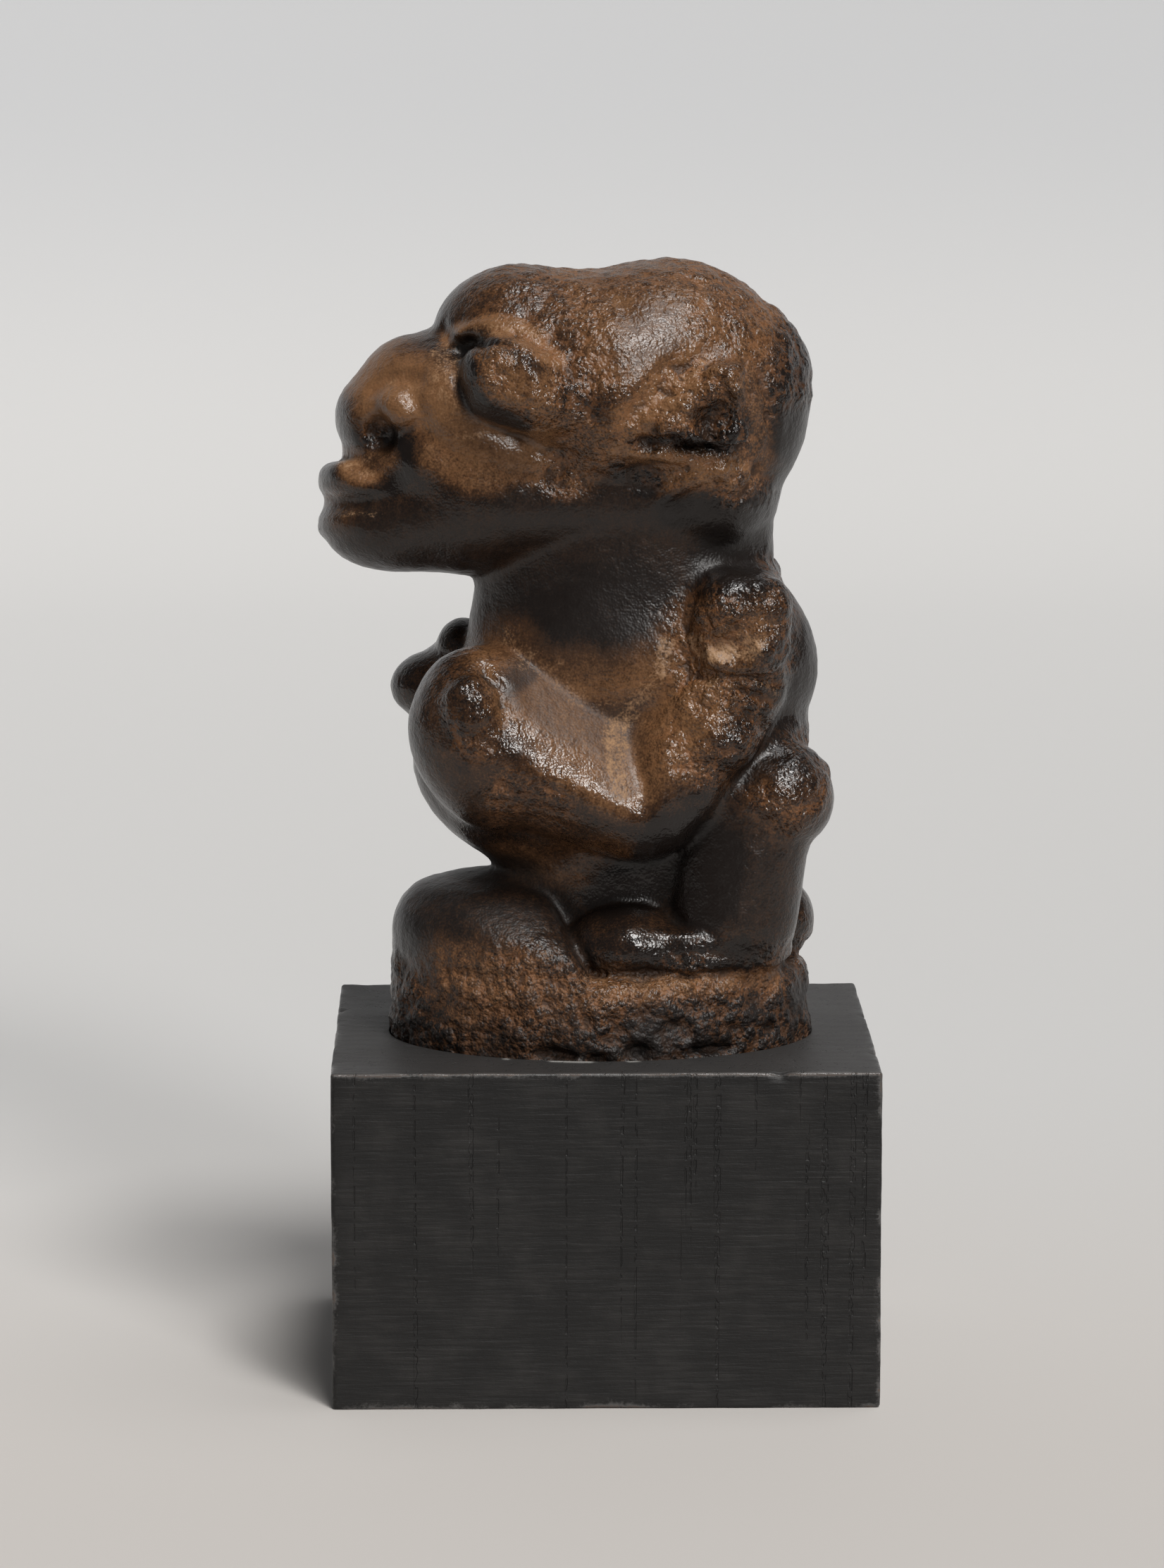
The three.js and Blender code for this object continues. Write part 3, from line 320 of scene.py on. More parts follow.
        (((5, 152), (12, 159), (21, 166)), 5, 0.95), (((12, 153), (18, 154)), 4, 0.6),
        (((17, 138), (30, 139)), 5, 0.8), (((3, 145), (14, 144.6), (22, 143.6)), 3, 1),
        (((33, 160), (35, 150), (35, 140)), 4, 0.5), (((-57, 141), (-50, 142)), 3.5, 1.1),
        (((-22, 98), (-8, 80), (4, 72)), 9, 0.85), (((2, 90), (8, 84)), 5, 0.5),
        (((12, 78), (20, 90), (18, 100)), 9, 0.75), (((26, 102), (32, 108)), 9, 0.6),
        (((-34, 84), (-30, 72), (-10, 64)), 9, 0.3), (((42, 66), (46, 96)), 9, 0.25),
        (((0, 25), (24, 24), (38, 24)), 3.5, 0.7), (((-38, 26), (-20, 27)), 7, 0.5),
        (((-36, 16), (-8, 16)), 10, 0.3), (((36, 158),), 10, 0.3), (((-60, 131),), 5, 0.5),
    ),
    "darkPatinaAndShade": (  # black patina, and painted shade in slots, hollows and on sides turned from the light
        (((7, 147.8), (20, 147.2), (27, 147)), 2, 0.6), (((22, 152.5), (28, 151)), 3.4, 0.5),
        (((5, 141), (10, 138.6)), 3.4, 0.7), (((16, 132.5), (30, 133)), 3.4, 0.6),
        (((-31, 165), (-31, 160), (-28, 156), (-24, 153.5), (-19, 152.6)), 2.2, 0.8),
        (((-33, 169), (-30, 171), (-26, 171)), 1.8, 0.8), (((46, 166), (46, 150)), 8, 0.8),
        (((34, 130), (30, 118)), 9, 0.6), (((0, 6), (24, 8), (46, 10)), 11, 0.5),
        (((-42, 14), (-36, 4), (-10, 3)), 6, 0.6), (((-22, 9), (0, 8)), 8, 0.35),
        (((46, 98), (45, 84)), 6, 0.5), (((-48, 140), (-44, 146)), 4, 0.4), (((22, 44), (24, 54)), 6, 0.9),
        (((2, 44), (12, 50), (16, 58)), 6, 0.6), (((-30, 90), (-33, 84)), 5, 0.3),
        (((-22, 93), (-18, 95)), 3, 0.5), (((38, 112), (39, 100)), 4, 0.3),
        (((-48, 32), (-46, 24)), 6, 0.4), (((10, 30), (34, 30)), 3.5, 0.5),
        (((-52, 144), (-46, 146)), 4, 0.5), (((-12, 104), (4, 108)), 12, 0.22),
        (((44, 76), (46, 92)), 7, 0.5),
    ),
    "earth": (  # pale dust left in folds and on ledges
        (((-23, 102), (-16, 97.5), (-10, 93), (-4, 88.6), (1, 86)), 3.4, 0.42),
        (((2, 82), (3.4, 77), (4, 70)), 2.8, 0.68), (((4, 83), (10, 92), (14, 101)), 2.2, 0.75),
        (((-10, 84), (0, 78)), 6, 0.25), (((14, 80), (20, 90)), 6, 0.2),
        (((22, 101), (27, 101), (32, 102)), 4, 0.85), (((-35.5, 166), (-36, 160), (-35, 153)), 4, 0.5),
        (((-34.4, 169.6), (-31, 172), (-25.5, 173.2), (-20, 172.6), (-15, 170)), 1.2, 0.5),
        (((-33.8, 166), (-34.6, 160), (-32, 155), (-28, 151)), 1.2, 0.5),
        (((-32, 149), (-24, 147.6), (-16, 148)), 2, 0.5), (((-46, 158), (-40, 154)), 6, 0.35),
        (((7, 153.4), (12.4, 158.6), (19, 163.4), (23, 166)), 1.4, 0.45),
        (((16, 137.4), (22, 140.6), (28, 141)), 1.6, 0.3), (((-4, 25.4), (14, 24.4), (34, 24.6)), 2, 0.4),
        (((-16, 34), (-13, 30), (-9, 27)), 2.4, 0.35), (((-59, 141.5), (-53, 141.5)), 2.4, 0.5),
        (((-60, 130.6), (-50, 130.2)), 0.8, 0.5), (((-26, 71), (-18, 66), (-14, 65)), 4, 0.3),
        (((24, 94), (32, 92), (38, 91)), 2.4, 0.5),
    ),
    "flatBelow": 0.6,  # where the underside is made flat
    "bareBelow": 1.0,  # and where it stays unweathered
    "shelter": ((4, 0.5), (10, 0.6)),  # mm looked out from the surface, and the share each has in the painted shade of enclosed places
    "undulation": 0.35,  # heights of the weathered relief
    "brokenRelief": 1.2,
    "roughness": 1.1,
    "grain": 0.08,
    "colours": {
        "patina": (0.011, 0.0074, 0.006),
        "brown": (0.066, 0.031, 0.0145),
        "lightBrown": (0.205, 0.102, 0.046),
        "earth": (0.38, 0.225, 0.12),
        "rust": (0.225, 0.092, 0.032),
        # grime, and painted shade in creases and pits
        "grime": (0.006, 0.004, 0.003),
    },
}


# Carving: shapes are functions that give the distance to their surface
def forSide(form, side):
    # the right side's copy of anything given for the left
    if side < 1:
        return form
    copy = dict(form)
    for key in ("at", "from", "to", "faces"):
        if key in form:
            x, y, z = form[key]
            copy[key] = (x, -y, z)
    if "turn" in form:
        a, b, c = form["turn"]
        copy["turn"] = (-a, b, -c)
    return copy


def turned(x, y, z, at, turn):
    x, y, z = x - at[0], y - at[1], z - at[2]
    for axis, degrees in enumerate(turn):
        if degrees:
            c, s = math.cos(math.radians(degrees)), math.sin(math.radians(degrees))
            if axis == 0:
                y, z = c * y + s * z, c * z - s * y
            elif axis == 1:
                x, z = c * x - s * z, c * z + s * x
            else:
                x, y = c * x + s * y, c * y - s * x
    return x, y, z


def placed(form, distance, reach):
    # a distance function moved to its form's place, with the box that holds the shape
    at, turn = form["at"], form.get("turn", (0, 0, 0))
    low, high = [v - r for v, r in zip(at, reach)], [v + r for v, r in zip(at, reach)]
    return lambda x, y, z: distance(*turned(x, y, z, at, turn)), low, high


def oval(*ratios):
    # the distance to an oval, from each distance over the half size and the half size itself
    k = np.sqrt(sum((v / a) ** 2 for v, a in ratios))
    return k * (k - 1) / (np.sqrt(sum((v / a**2) ** 2 for v, a in ratios)) + 1e-6)


def rounded(rim, *gaps):
    # the distance to a shape with rounded rims, from the distances to its faces
    outside = np.sqrt(sum(np.maximum(gap, 0) ** 2 for gap in gaps))
    return outside + np.minimum(functools.reduce(np.maximum, gaps), 0) - rim


def egg(form):
    half = form["half"]
    return placed(form, lambda *place: oval(*zip(place, half)), [max(half)] * 3)


def limb(form):
    # a long mass with round ends, flattened across the body
    start, end = np.array(form["from"], float), np.array(form["to"], float)
    r0, r1 = form["radii"]
    flat = form.get("flat", 1)
    along = (end - start) / (1, flat, 1)

    def distance(x, y, z):
        x, y, z = x - start[0], (y - start[1]) / flat, z - start[2]
        h = np.clip((x * along[0] + y * along[1] + z * along[2]) / (along @ along), 0, 1)
        gap = np.sqrt((x - h * along[0]) ** 2 + (y - h * along[1]) ** 2 + (z - h * along[2]) ** 2)
        return gap - (r0 + (r1 - r0) * h)

    reach = max(r0, r1) * max(flat, 1)
    return distance, np.minimum(start, end) - reach, np.maximum(start, end) + reach


def path(points, radii):
    # limbs end to end
    parts = [
        limb({"from": points[i], "to": points[i + 1], "radii": (radii[i], radii[i + 1])})
        for i in range(len(points) - 1)
    ]

    def distance(x, y, z):
        return np.minimum.reduce([part[0](x, y, z) for part in parts])

    return distance, np.min([part[1] for part in parts], 0), np.max([part[2] for part in parts], 0)


def slab(form):
    # a squared mass with rounded edges
    half, rim = form["half"], form["rim"]

    def distance(*place):
        return rounded(rim, *(abs(v) - a + rim for v, a in zip(place, half)))

    return placed(form, distance, [math.hypot(*half)] * 3)


def column(form):
    # an upright oval column with rounded rims
    (a, b, c), rim = form["half"], form["rim"]

    def distance(x, y, z):
        return rounded(rim, oval((x, a), (y, b)) + rim, abs(z) - c + rim)

    tilt = max(map(abs, form.get("turn", (0,))))
    return placed(form, distance, (a, b, c + max(a, b) * math.sin(math.radians(tilt))))


shapes = {"egg": egg, "limb": limb, "slab": slab, "column": column}


def softMax(a, b, blend):
    h = np.maximum(blend - abs(a - b), 0)
    return np.maximum(a, b) + h * h / (4 * blend)


def pared(shape, edge, planes):
    # a shape cut back by flat planes
    inner, low, high = shape

    def distance(x, y, z):
        best = inner(x, y, z)
        for plane in planes:
            a, n = plane["at"], np.array(plane["faces"], float)
            n /= np.linalg.norm(n)
            best = softMax(best, (x - a[0]) * n[0] + (y - a[1]) * n[1] + (z - a[2]) * n[2], edge)
        return best

    return distance, low, high


def cornerShares(t):
    # the eight corners of a cell, and how much each counts at the places t within it
    for corner in itertools.product((0, 1), repeat=3):
        gap = abs(1 - np.array(corner) - t)
        yield corner, gap[:, 0] * gap[:, 1] * gap[:, 2]


class Carving:
    # a block of distances on a grid, added to and cut into like clay and stone
    farAway = 30.0  # mm, where nothing has been added
    addMargin = 16  # how far round a shape its distances are worked out

    def __init__(self, room, step):
        self.low, self.step = np.array(room[0], float), step
        counts = np.ceil((np.array(room[1]) - self.low) / step).astype(int) + 1
        self.axes = [self.low[i] + step * np.arange(counts[i]) for i in range(3)]
        self.field = np.full(counts, self.farAway, np.float32)

    def near(self, shape, margin):
        cuts = []
        for i in range(3):
            first = int(np.searchsorted(self.axes[i], shape[1][i] - margin))
            last = int(np.searchsorted(self.axes[i], shape[2][i] + margin))
            cuts.append(slice(max(first - 1, 0), last + 1))
        x, y, z = (self.axes[i][cuts[i]].astype(np.float32) for i in range(3))
        return tuple(cuts), shape[0](x[:, None, None], y[None, :, None], z[None, None, :])

    def apply(self, shape, blend, raised=True):
        # adds a shape, or cuts it away
        part, d = self.near(shape, self.addMargin if raised else blend + 1)
        if raised:
            self.field[part] = -softMax(-self.field[part], -d, blend)
        else:
            self.field[part] = softMax(self.field[part], -d, blend)

    def skin(self, x, z, side):
        # how far out the surface lies at a place seen from the side
        u, w = (x - self.low[0]) / self.step, (z - self.low[2]) / self.step
        i, k = int(u), int(w)
        f = self.field
        near = f[i, :, k] * (1 - w + k) + f[i, :, k + 1] * (w - k)
        far = f[i + 1, :, k] * (1 - w + k) + f[i + 1, :, k + 1] * (w - k)
        row = near * (1 - u + i) + far * (u - i)
        places = self.axes[1]
        if side > 0:
            row, places = row[::-1], places[::-1]
        n = int(np.argmax((row[:-1] >= 0) & (row[1:] < 0)))
        return float(places[n] + (places[n + 1] - places[n]) * row[n] / (row[n] - row[n + 1]))

    def out(self, x, z, side, height, thickness, way=1):
        # the middle of something that thick, standing out of the skin or sunk in it by a height
        return (x, self.skin(x, z, side) + side * way * (height - thickness), z)

    def line(self, side, form):
        # a ridge or a groove drawn on the side
        raised = "ridge" in form
        drawn, way = (form["ridge"], 1) if raised else (form["groove"], -1)
        points = [self.out(x, z, side, height, radius, way) for x, z, radius, height in drawn]
        self.apply(path(points, [radius for _, _, radius, _ in drawn]), form["blend"], raised)

    def blob(self, side, form):
        # a lump or a dent in the side
        raised, half = "lump" in form, form["half"]
        place, way = (form["lump"], 1) if raised else (form["dent"], -1)
        at, turn = self.out(*place, side, form["by"], half[1], way), (0, form.get("lean", 0), 0)
        self.apply(egg({"at": at, "half": half, "turn": turn}), form["blend"], raised)

    def plate(self, side, form):
        # a flat-topped mass laid on the side and cut back by planes
        at = self.out(*form["plate"], side, form["by"], form["half"][1])
        shape = slab({**form, "at": at, "turn": (0, form["lean"], -side * form["face"])})
        planes = [
            {"at": (x, at[1], z), "faces": (nx, side * ny, nz)}
            for (x, z), (nx, ny, nz) in form["pared"]
        ]
        self.apply(pared(shape, form["rim"], planes), form["blend"])

    def sample(self, points):
        # the field at any points
        u = (points - self.low) / self.step
        u = np.clip(u, 0, np.array(self.field.shape) - 1.001)
        i = u.astype(int)
        result = 0
        for (a, b, c), share in cornerShares(u - i):
            result = result + share * self.field[i[:, 0] + a, i[:, 1] + b, i[:, 2] + c]
        return result

    def surface(self):
        # one point in each cell that the surface crosses, and a square face over each crossed edge
        f, inside = self.field, self.field < 0
        cellCounts = [n - 1 for n in f.shape]
        offsets = np.zeros((*cellCounts, 3), np.float32)
        count = np.zeros(cellCounts, np.float32)
        crossed = []
        for axis in range(3):
            low, high = [slice(None)] * 3, [slice(None)] * 3
            low[axis], high[axis] = slice(0, -1), slice(1, None)
            a, b = f[tuple(low)], f[tuple(high)]
            cross = inside[tuple(low)] != inside[tuple(high)]
            crossed.append((cross, inside[tuple(low)]))
            t = np.where(cross, a / np.where(cross, a - b, 1), 0)
            first, second = [i for i in range(3) if i != axis]
            for du, dv in itertools.product((0, 1), repeat=2):
                part = [slice(None)] * 3
                part[first] = slice(du, f.shape[first] - 1 + du)
                part[second] = slice(dv, f.shape[second] - 1 + dv)
                c = cross[tuple(part)]
                count += c
                offsets[..., axis] += np.where(c, t[tuple(part)], 0)
                offsets[..., first] += c * du
                offsets[..., second] += c * dv
        active = count > 0
        index = np.full(active.shape, -1)
        index[active] = np.arange(active.sum())
        points = self.low + self.step * (np.argwhere(active) + offsets[active] / count[active][:, None])
        faces = []
        for axis, (u, v) in enumerate(((1, 2), (2, 0), (0, 1))):
            cross, solid = crossed[axis]
            places = np.argwhere(cross)
            places = places[(places[:, u] > 0) & (places[:, v] > 0)]
            corners = []
            for du, dv in ((1, 1), (0, 1), (0, 0), (1, 0)):
                p = places.copy()
                p[:, u] -= du
                p[:, v] -= dv
                corners.append(index[tuple(p.T)])
            quads = np.stack(corners, 1)
            flipped = ~solid[tuple(places.T)]
            quads[flipped] = quads[flipped][:, ::-1]
            faces.append(quads)
        return points, np.concatenate(faces)


def planesFor(s, form, side):
    # the planes that cut a form back; one in the middle has those that face sideways on both sides
    planes = []
    for name in form.get("planes", ()):
        both = side == 0 and s[name]["faces"][1] != 0
        planes += [forSide(s[name], one) for one in ((-1, 1) if both else (side,))]
    return planes


def carve(stone, s, names, side=0):
    # works the named forms in order, on the left (-1), on the right (1) or in the middle (0)
    for name in names.split():
        for form in s[name] if isinstance(s[name], tuple) else (s[name],):
            if "ridge" in form or "groove" in form:
                stone.line(side, form)
            elif "lump" in form or "dent" in form:
                stone.blob(side, form)
            elif "plate" in form:
                stone.plate(side, form)
            else:
                kind = "limb" if "from" in form else form.get("shape", "egg")
                shape, planes = shapes[kind](forSide(form, side)), planesFor(s, form, side)
                if planes:
                    shape = pared(shape, form["edge"], planes)
                stone.apply(shape, form["blend"], not form.get("away"))


def carveFigure(s):
    stone = Carving(s["room"], s["step"])
    carve(stone, s, "base boss bossSlope waist belly chest neck shoulderBlades smallOfBack")
    for side in (-1, 1):
        carve(stone, s, "shin", side)
        carve(stone, s, "buttock" if side < 0 else "farButtock")
        carve(stone, s, "foot toes overToes underFoot", side)
        if side > 0:
            carve(stone, s, "farHeel")
        carve(stone, s, "shoulder upperArm elbow overElbow forearm hand", side)
        carve(stone, s, "roundKnob wristKnob underKnob", side)
        carve(stone, s, "shoulderDish shoulderRim shoulderLumps armCreases", side)
    carve(stone, s, "farHand farKnob")
    for side in (-1, 1):
        for place, half, deep in s["footChips"]:
            stone.blob(side, {"dent": place, "half": half, "by": deep, "blend": s["chipBlend"]})
    carve(stone, s, "skull skullCorner temples forehead jawRoot cheeks jaw chin faceSides")
    carve(stone, s, "noseTop noseTip cap")
    for side in (-1, 1):
        carve(stone, s, "overWing noseWing nostril cheekLump", side)
    carve(stone, s, "upperLip lowerLip")
    for side in (-1, 1):
        carve(stone, s, "underEye roundEye brow eyeball eyeCorner underBrow eyeInnerCorner capEdge", side)
        carve(stone, s, "earPlate earRim aboveEar earHollow earFold underEar earLobe lobeRidge", side)
        carve(stone, s, "earNotch earSlot besideEar behindEar strap", side)
    carve(stone, s, "underside")
    return stone


# Weathering: small waves and pits, the same on every run
def cellNumber(cell, seed):
    # a large whole number for each cell of a lattice
    return cell[:, 0] * 374761393 + cell[:, 1] * 668265263 + cell[:, 2] * 2147483647 + seed * 97


def waves(points, size, seed):
    # smooth noise from -1 to 1, with about size mm from one bump to the next
    p = points / size + seed * 17.31
    i = np.floor(p).astype(np.int64)
    t = p - i
    t = t * t * t * (t * (t * 6 - 15) + 10)
    height = 0
    for corner, share in cornerShares(t):
        h = cellNumber(i + corner, seed)
        h = ((h ^ (h >> 13)) * 1274126177) & 0x7FFFFFFF
        height = height + (((h ^ (h >> 16)) & 0xFFFF) / 32767.5 - 1) * share
    return height


def knobs(points, size, seed):
    # how far each point is from the nearest of many scattered centres, about size mm apart
    p = points / size + seed * 5.17
    home = np.floor(p).astype(np.int64)
    nearest = np.full(len(points), 9.0)
    for step in itertools.product((-1, 0, 1), repeat=3):
        cell = home + step
        h = cellNumber(cell, seed)
        centre = []
        for n in range(3):
            h = ((h ^ (h >> 13)) * 1274126177 + n) & 0x7FFFFFFF
            centre.append(((h ^ (h >> 15)) & 0xFFFF) / 65536)
        gap = p - cell - np.stack(centre, 1)
        nearest = np.minimum(nearest, np.einsum("ij,ij->i", gap, gap))
    return np.sqrt(nearest)


def painted(points, strokes):
    # how strongly the points lie in soft strokes drawn on both sides, with uneven edges
    paint = np.zeros(len(points))
    flat = points[:, [0, 2]] + 1.3 * np.stack([waves(points, 7, 11), waves(points, 7, 12)], 1)
    for line, radius, strength in strokes:
        line = np.array(line, float)
        gap = np.linalg.norm(flat - line[0], axis=1)
        for a, b in zip(line[:-1], line[1:]):
            along = b - a
            h = np.clip((flat - a) @ along / (along @ along), 0, 1)
            gap = np.minimum(gap, np.linalg.norm(flat - a - h[:, None] * along, axis=1))
        soft = np.clip(1.5 - gap / radius, 0, 1)
        paint = np.maximum(paint, strength * soft * soft * (3 - 2 * soft))
    return paint


def meshNormals(points, quads):
    a, b, c, d = (points[quads[:, n]] for n in range(4))
    facing = np.cross(c - a, d - b)
    normals = np.zeros_like(points)
    for n in range(4):
        for axis in range(3):
            normals[:, axis] += np.bincount(quads[:, n], facing[:, axis], len(points))
    return normals / (np.linalg.norm(normals, axis=1)[:, None] + 1e-9)


def evened(values, quads, rounds):
    # each value moved to the mean of its neighbours', so many times over
    values = np.array(values, float)
    flat = values.reshape(len(values), -1)
    here, after, before = (np.roll(quads, n, 1).ravel() for n in (0, 1, -1))
    count = np.bincount(here, minlength=len(flat)) * 2
    for _ in range(rounds):
        fresh = np.empty_like(flat)
        for n in range(flat.shape[1]):
            around = [np.bincount(here, flat[others, n], len(flat)) for others in (after, before)]
            fresh[:, n] = (around[0] + around[1]) / count
        flat = fresh
    return flat.reshape(values.shape)


def proud(points, quads, normals):
    # how far each point stands out from those around it, in mm
    return np.sum((points - evened(points, quads, 3)) * normals, axis=1)


def shelter(stone, points, normals, reach):
    # how enclosed a place is, from 0 in the open to 1 in a deep hollow
    return np.clip(1 - stone.sample(points + normals * reach) / reach, 0, 1)


def weather(points, quads, s):
    broken = painted(points, s["broken"]) * (1 - 0.8 * painted(points, s["smooth"]))
    broken = np.clip(broken * (0.8 + 0.5 * waves(points, 9, 3)), 0, 1)
    height = s["undulation"] * (waves(points, 15, 1) + 0.5 * waves(points, 8, 2))
    flakes = 0.7 * waves(points, 6.4, 9) - 0.9 * np.maximum(waves(points, 4.4, 10) - 0.1, 0)
    height += s["brokenRelief"] * broken * flakes
    # chipped stone is left as knobs with sharp pits between them
    big, small = knobs(points, 4.2, 4), knobs(points, 2.6, 5)
    height += s["roughness"] * (0.06 + 0.94 * broken) * (1.1 - 1.5 * big**2 - 1.0 * small**2)
    height += s["grain"] * waves(points, 2.0, 8)
    height *= points[:, 2] > s["bareBelow"]
    return points + meshNormals(points, quads) * height[:, None], broken


def makeMesh(name, points, quads):
    mesh = bpy.data.meshes.new(name)
    mesh.vertices.add(len(points))
    mesh.vertices.foreach_set("co", (points * mm).astype(np.float32).ravel())
    mesh.loops.add(quads.size)
    mesh.loops.foreach_set("vertex_index", quads.astype(np.int32).ravel())
    mesh.polygons.add(len(quads))
    mesh.polygons.foreach_set("loop_start", np.arange(0, quads.size, 4, dtype=np.int32))
    mesh.polygons.foreach_set("use_smooth", np.ones(len(quads), bool))
    mesh.update(calc_edges=True)
    piece = bpy.data.objects.new(name, mesh)
    bpy.context.scene.collection.objects.link(piece)
    return piece


def paintPoints(piece, name, values):
    layer = piece.data.attributes.new(name, "FLOAT", "POINT")
    layer.data.foreach_set("value", np.asarray(values, np.float32))


# Shader helpers
def newMaterial(name):
    material = bpy.data.materials.new(name)
    material.use_nodes = True
    return material, material.node_tree


def plug(tree, socket, value):
    # joins a socket to another one, or gives it a fixed value
    if isinstance(value, bpy.types.NodeSocket):
        tree.links.new(value, socket)
    else:
        socket.default_value = value


def node(tree, kind, settings=None, **inputs):
    made = tree.nodes.new("ShaderNode" + kind)
    for key, value in (settings or {}).items():
        setattr(made, key, value)
    for key, value in inputs.items():
        plug(tree, made.inputs[key.replace("_", " ")], value)
    return made


def noise(tree, place, size, detail=3, roughness=0.55):
    # noise with about size mm from one bump to the next
    made = node(tree, "TexNoise", Vector=place, Scale=1000 / size, Detail=detail, Roughness=roughness)
    return made.outputs["Fac"]


def stretched(tree, place, scale, lean=0):
    # the same place, squeezed along the axes and leaned about Y
    turn = (0, math.radians(lean), 0)
    return node(tree, "Mapping", Vector=place, Rotation=turn, Scale=scale).outputs[0]


def ramp(tree, value, low, high, start=0.0, end=1.0):
    ends = {"From_Min": low, "From_Max": high, "To_Min": start, "To_Max": end}
    made = node(tree, "MapRange", {"interpolation_type": "SMOOTHSTEP"}, Value=value, **ends)
    return made.outputs["Result"]


def maths(tree, operation, a, b, clamp=False):
    made = node(tree, "Math", {"operation": operation, "use_clamp": clamp})
    plug(tree, made.inputs[0], a)
    plug(tree, made.inputs[1], b)
    return made.outputs[0]


def times(tree, a, b, clamp=False):
    return maths(tree, "MULTIPLY", a, b, clamp)


def total(tree, *parts):
    # a sum of sockets and numbers, each with its weight
    result = 0.0
    for value, weight in parts:
        result = maths(tree, "ADD", times(tree, value, weight), result)
    return result


def blendColour(tree, share, a, b, mode="MIX"):
    made = node(tree, "Mix", {"data_type": "RGBA", "blend_type": mode})
    for n, value in ((0, share), (6, a), (7, b)):
        plug(tree, made.inputs[n], (*value, 1) if isinstance(value, tuple) else value)
    return made.outputs[2]


def attribute(tree, name):
    return node(tree, "Attribute", {"attribute_name": name}).outputs["Fac"]


def cells(tree, place, size):
    # 0 in the middle of scattered knobs about size mm apart, 1 in the pits between them
    gap = node(tree, "TexVoronoi", {"feature": "F1"}, Vector=place, Scale=1000 / size)
    return ramp(tree, gap.outputs["Distance"], 0.15, 0.85)


def finishSurface(tree, colour, roughness, specular, relief):
    # relief is in mm
    bump = node(tree, "Bump", Strength=1.0, Distance=mm, Height=relief).outputs[0]
    inputs = tree.nodes["Principled BSDF"].inputs
    plug(tree, inputs["Base Color"], colour)
    plug(tree, inputs["Roughness"], roughness)
    plug(tree, inputs["Specular IOR Level"], specular)
    plug(tree, inputs["Normal"], bump)


def stoneFinish(c):
    material, tree = newMaterial("handledSoapstone")
    place = node(tree, "TexCoord").outputs["Object"]
    names = ("rough", "even", "tone", "earth", "hollow", "raised", "polished", "dull")
    rough, even, tone, earth, hollow, raised, polished, dull = (attribute(tree, name) for name in names)
    broad = noise(tree, place, 16, 4)
    middle = noise(tree, place, 4, 5, 0.62)
    fine = noise(tree, place, 1.4, 3, 0.65)
    speck = noise(tree, place, 0.5, 1, 0.5)
    # streaks run down and back over the dome
    streaks = noise(tree, stretched(tree, place, (1, 0.5, 0.16), -58), 1.5, 1, 0.5)
    # broken places are a mass of small knobs with pits between them
    pits, smallPits = cells(tree, place, 1.9), cells(tree, place, 0.9)
    grains, grit = noise(tree, place, 1.1, 0, 0.5), noise(tree, place, 0.5, 0, 0.5)
    # patina, brown and light brown
    contrast = total(tree, (rough, 0.45), (even, -0.3), (1.0, 0.6))
    mottling = total(
        tree, (broad, 0.6), (middle, 0.8), (fine, 1.3), (speck, 1.5), (streaks, 0.5), (1.0, -2.35)
    )
    mottled = times(tree, mottling, contrast)
    shade = total(tree, (tone, 1.0), (rough, 0.3), (mottled, 1.0), (raised, -0.2), (1.0, 0.14))
    colour = blendColour(tree, ramp(tree, shade, -0.2, 0.75), c["patina"], c["brown"])
    colour = blendColour(tree, ramp(tree, shade, 0.4, 1.3), colour, c["lightBrown"])
    # rusty earth in the pits of broken places
    sunken = total(tree, (pits, 0.7), (raised, -0.8), (fine, 1.2), (speck, 1.2), (1.0, -0.95))
    rustShare = total(tree, (rough, 0.7), (tone, 0.2), (polished, -0.6), (dull, -0.2))
    rusty = times(tree, ramp(tree, sunken, 0.0, 0.6), rustShare, clamp=True)
    colour = blendColour(tree, rusty, colour, c["rust"])
    # grime, and painted shade in the creases and the deepest pits
    deepPits = total(tree, (pits, 0.7), (smallPits, 0.5), (raised, -0.6))
    deepest = times(tree, ramp(tree, deepPits, 0.35, 0.8), rough)
    grime = total(tree, (hollow, 1.0), (middle, 0.35), (deepest, 0.45), (earth, -0.9))
    grimedAndShaded = ramp(tree, grime, 0.45, 1.05)
    colour = blendColour(tree, times(tree, grimedAndShaded, 0.7), colour, c["grime"])
    # pale dust on ledges
    dust = total(tree, (earth, 1.35), (middle, 0.9), (fine, 1.2), (speck, 0.7), (1.0, -1.8))
    dusty = ramp(tree, dust, 0.1, 1.0)
    colour = blendColour(tree, dusty, colour, c["earth"])
    roughness = total(
        tree, (fine, 0.15), (middle, 0.12), (dusty, 0.35), (rusty, 0.26), (grimedAndShaded, 0.1), (even, 0.12),
        (raised, -0.08), (polished, -0.05), (dull, 0.28), (1.0, 0.16)
    )
    # the relief is coarser where the stone has not been rubbed
    unrubbed = total(tree, (polished, -0.45), (dull, -0.1), (1.0, 1.0))
    chipped = times(tree, rough, unrubbed)
    relief = total(
        tree,
        (times(tree, pits, chipped), -0.40),
        (times(tree, smallPits, chipped), -0.16),
        (times(tree, smallPits, tone), -0.03),
        (times(tree, grains, chipped), 0.40),
        (times(tree, streaks, tone), 0.10),
        (times(tree, grains, unrubbed), 0.09),
        (grit, 0.075),
        (times(tree, grit, chipped), 0.16),
    )
    finishSurface(tree, colour, maths(tree, "ADD", roughness, 0.0, clamp=True), 0.45, relief)
    return material


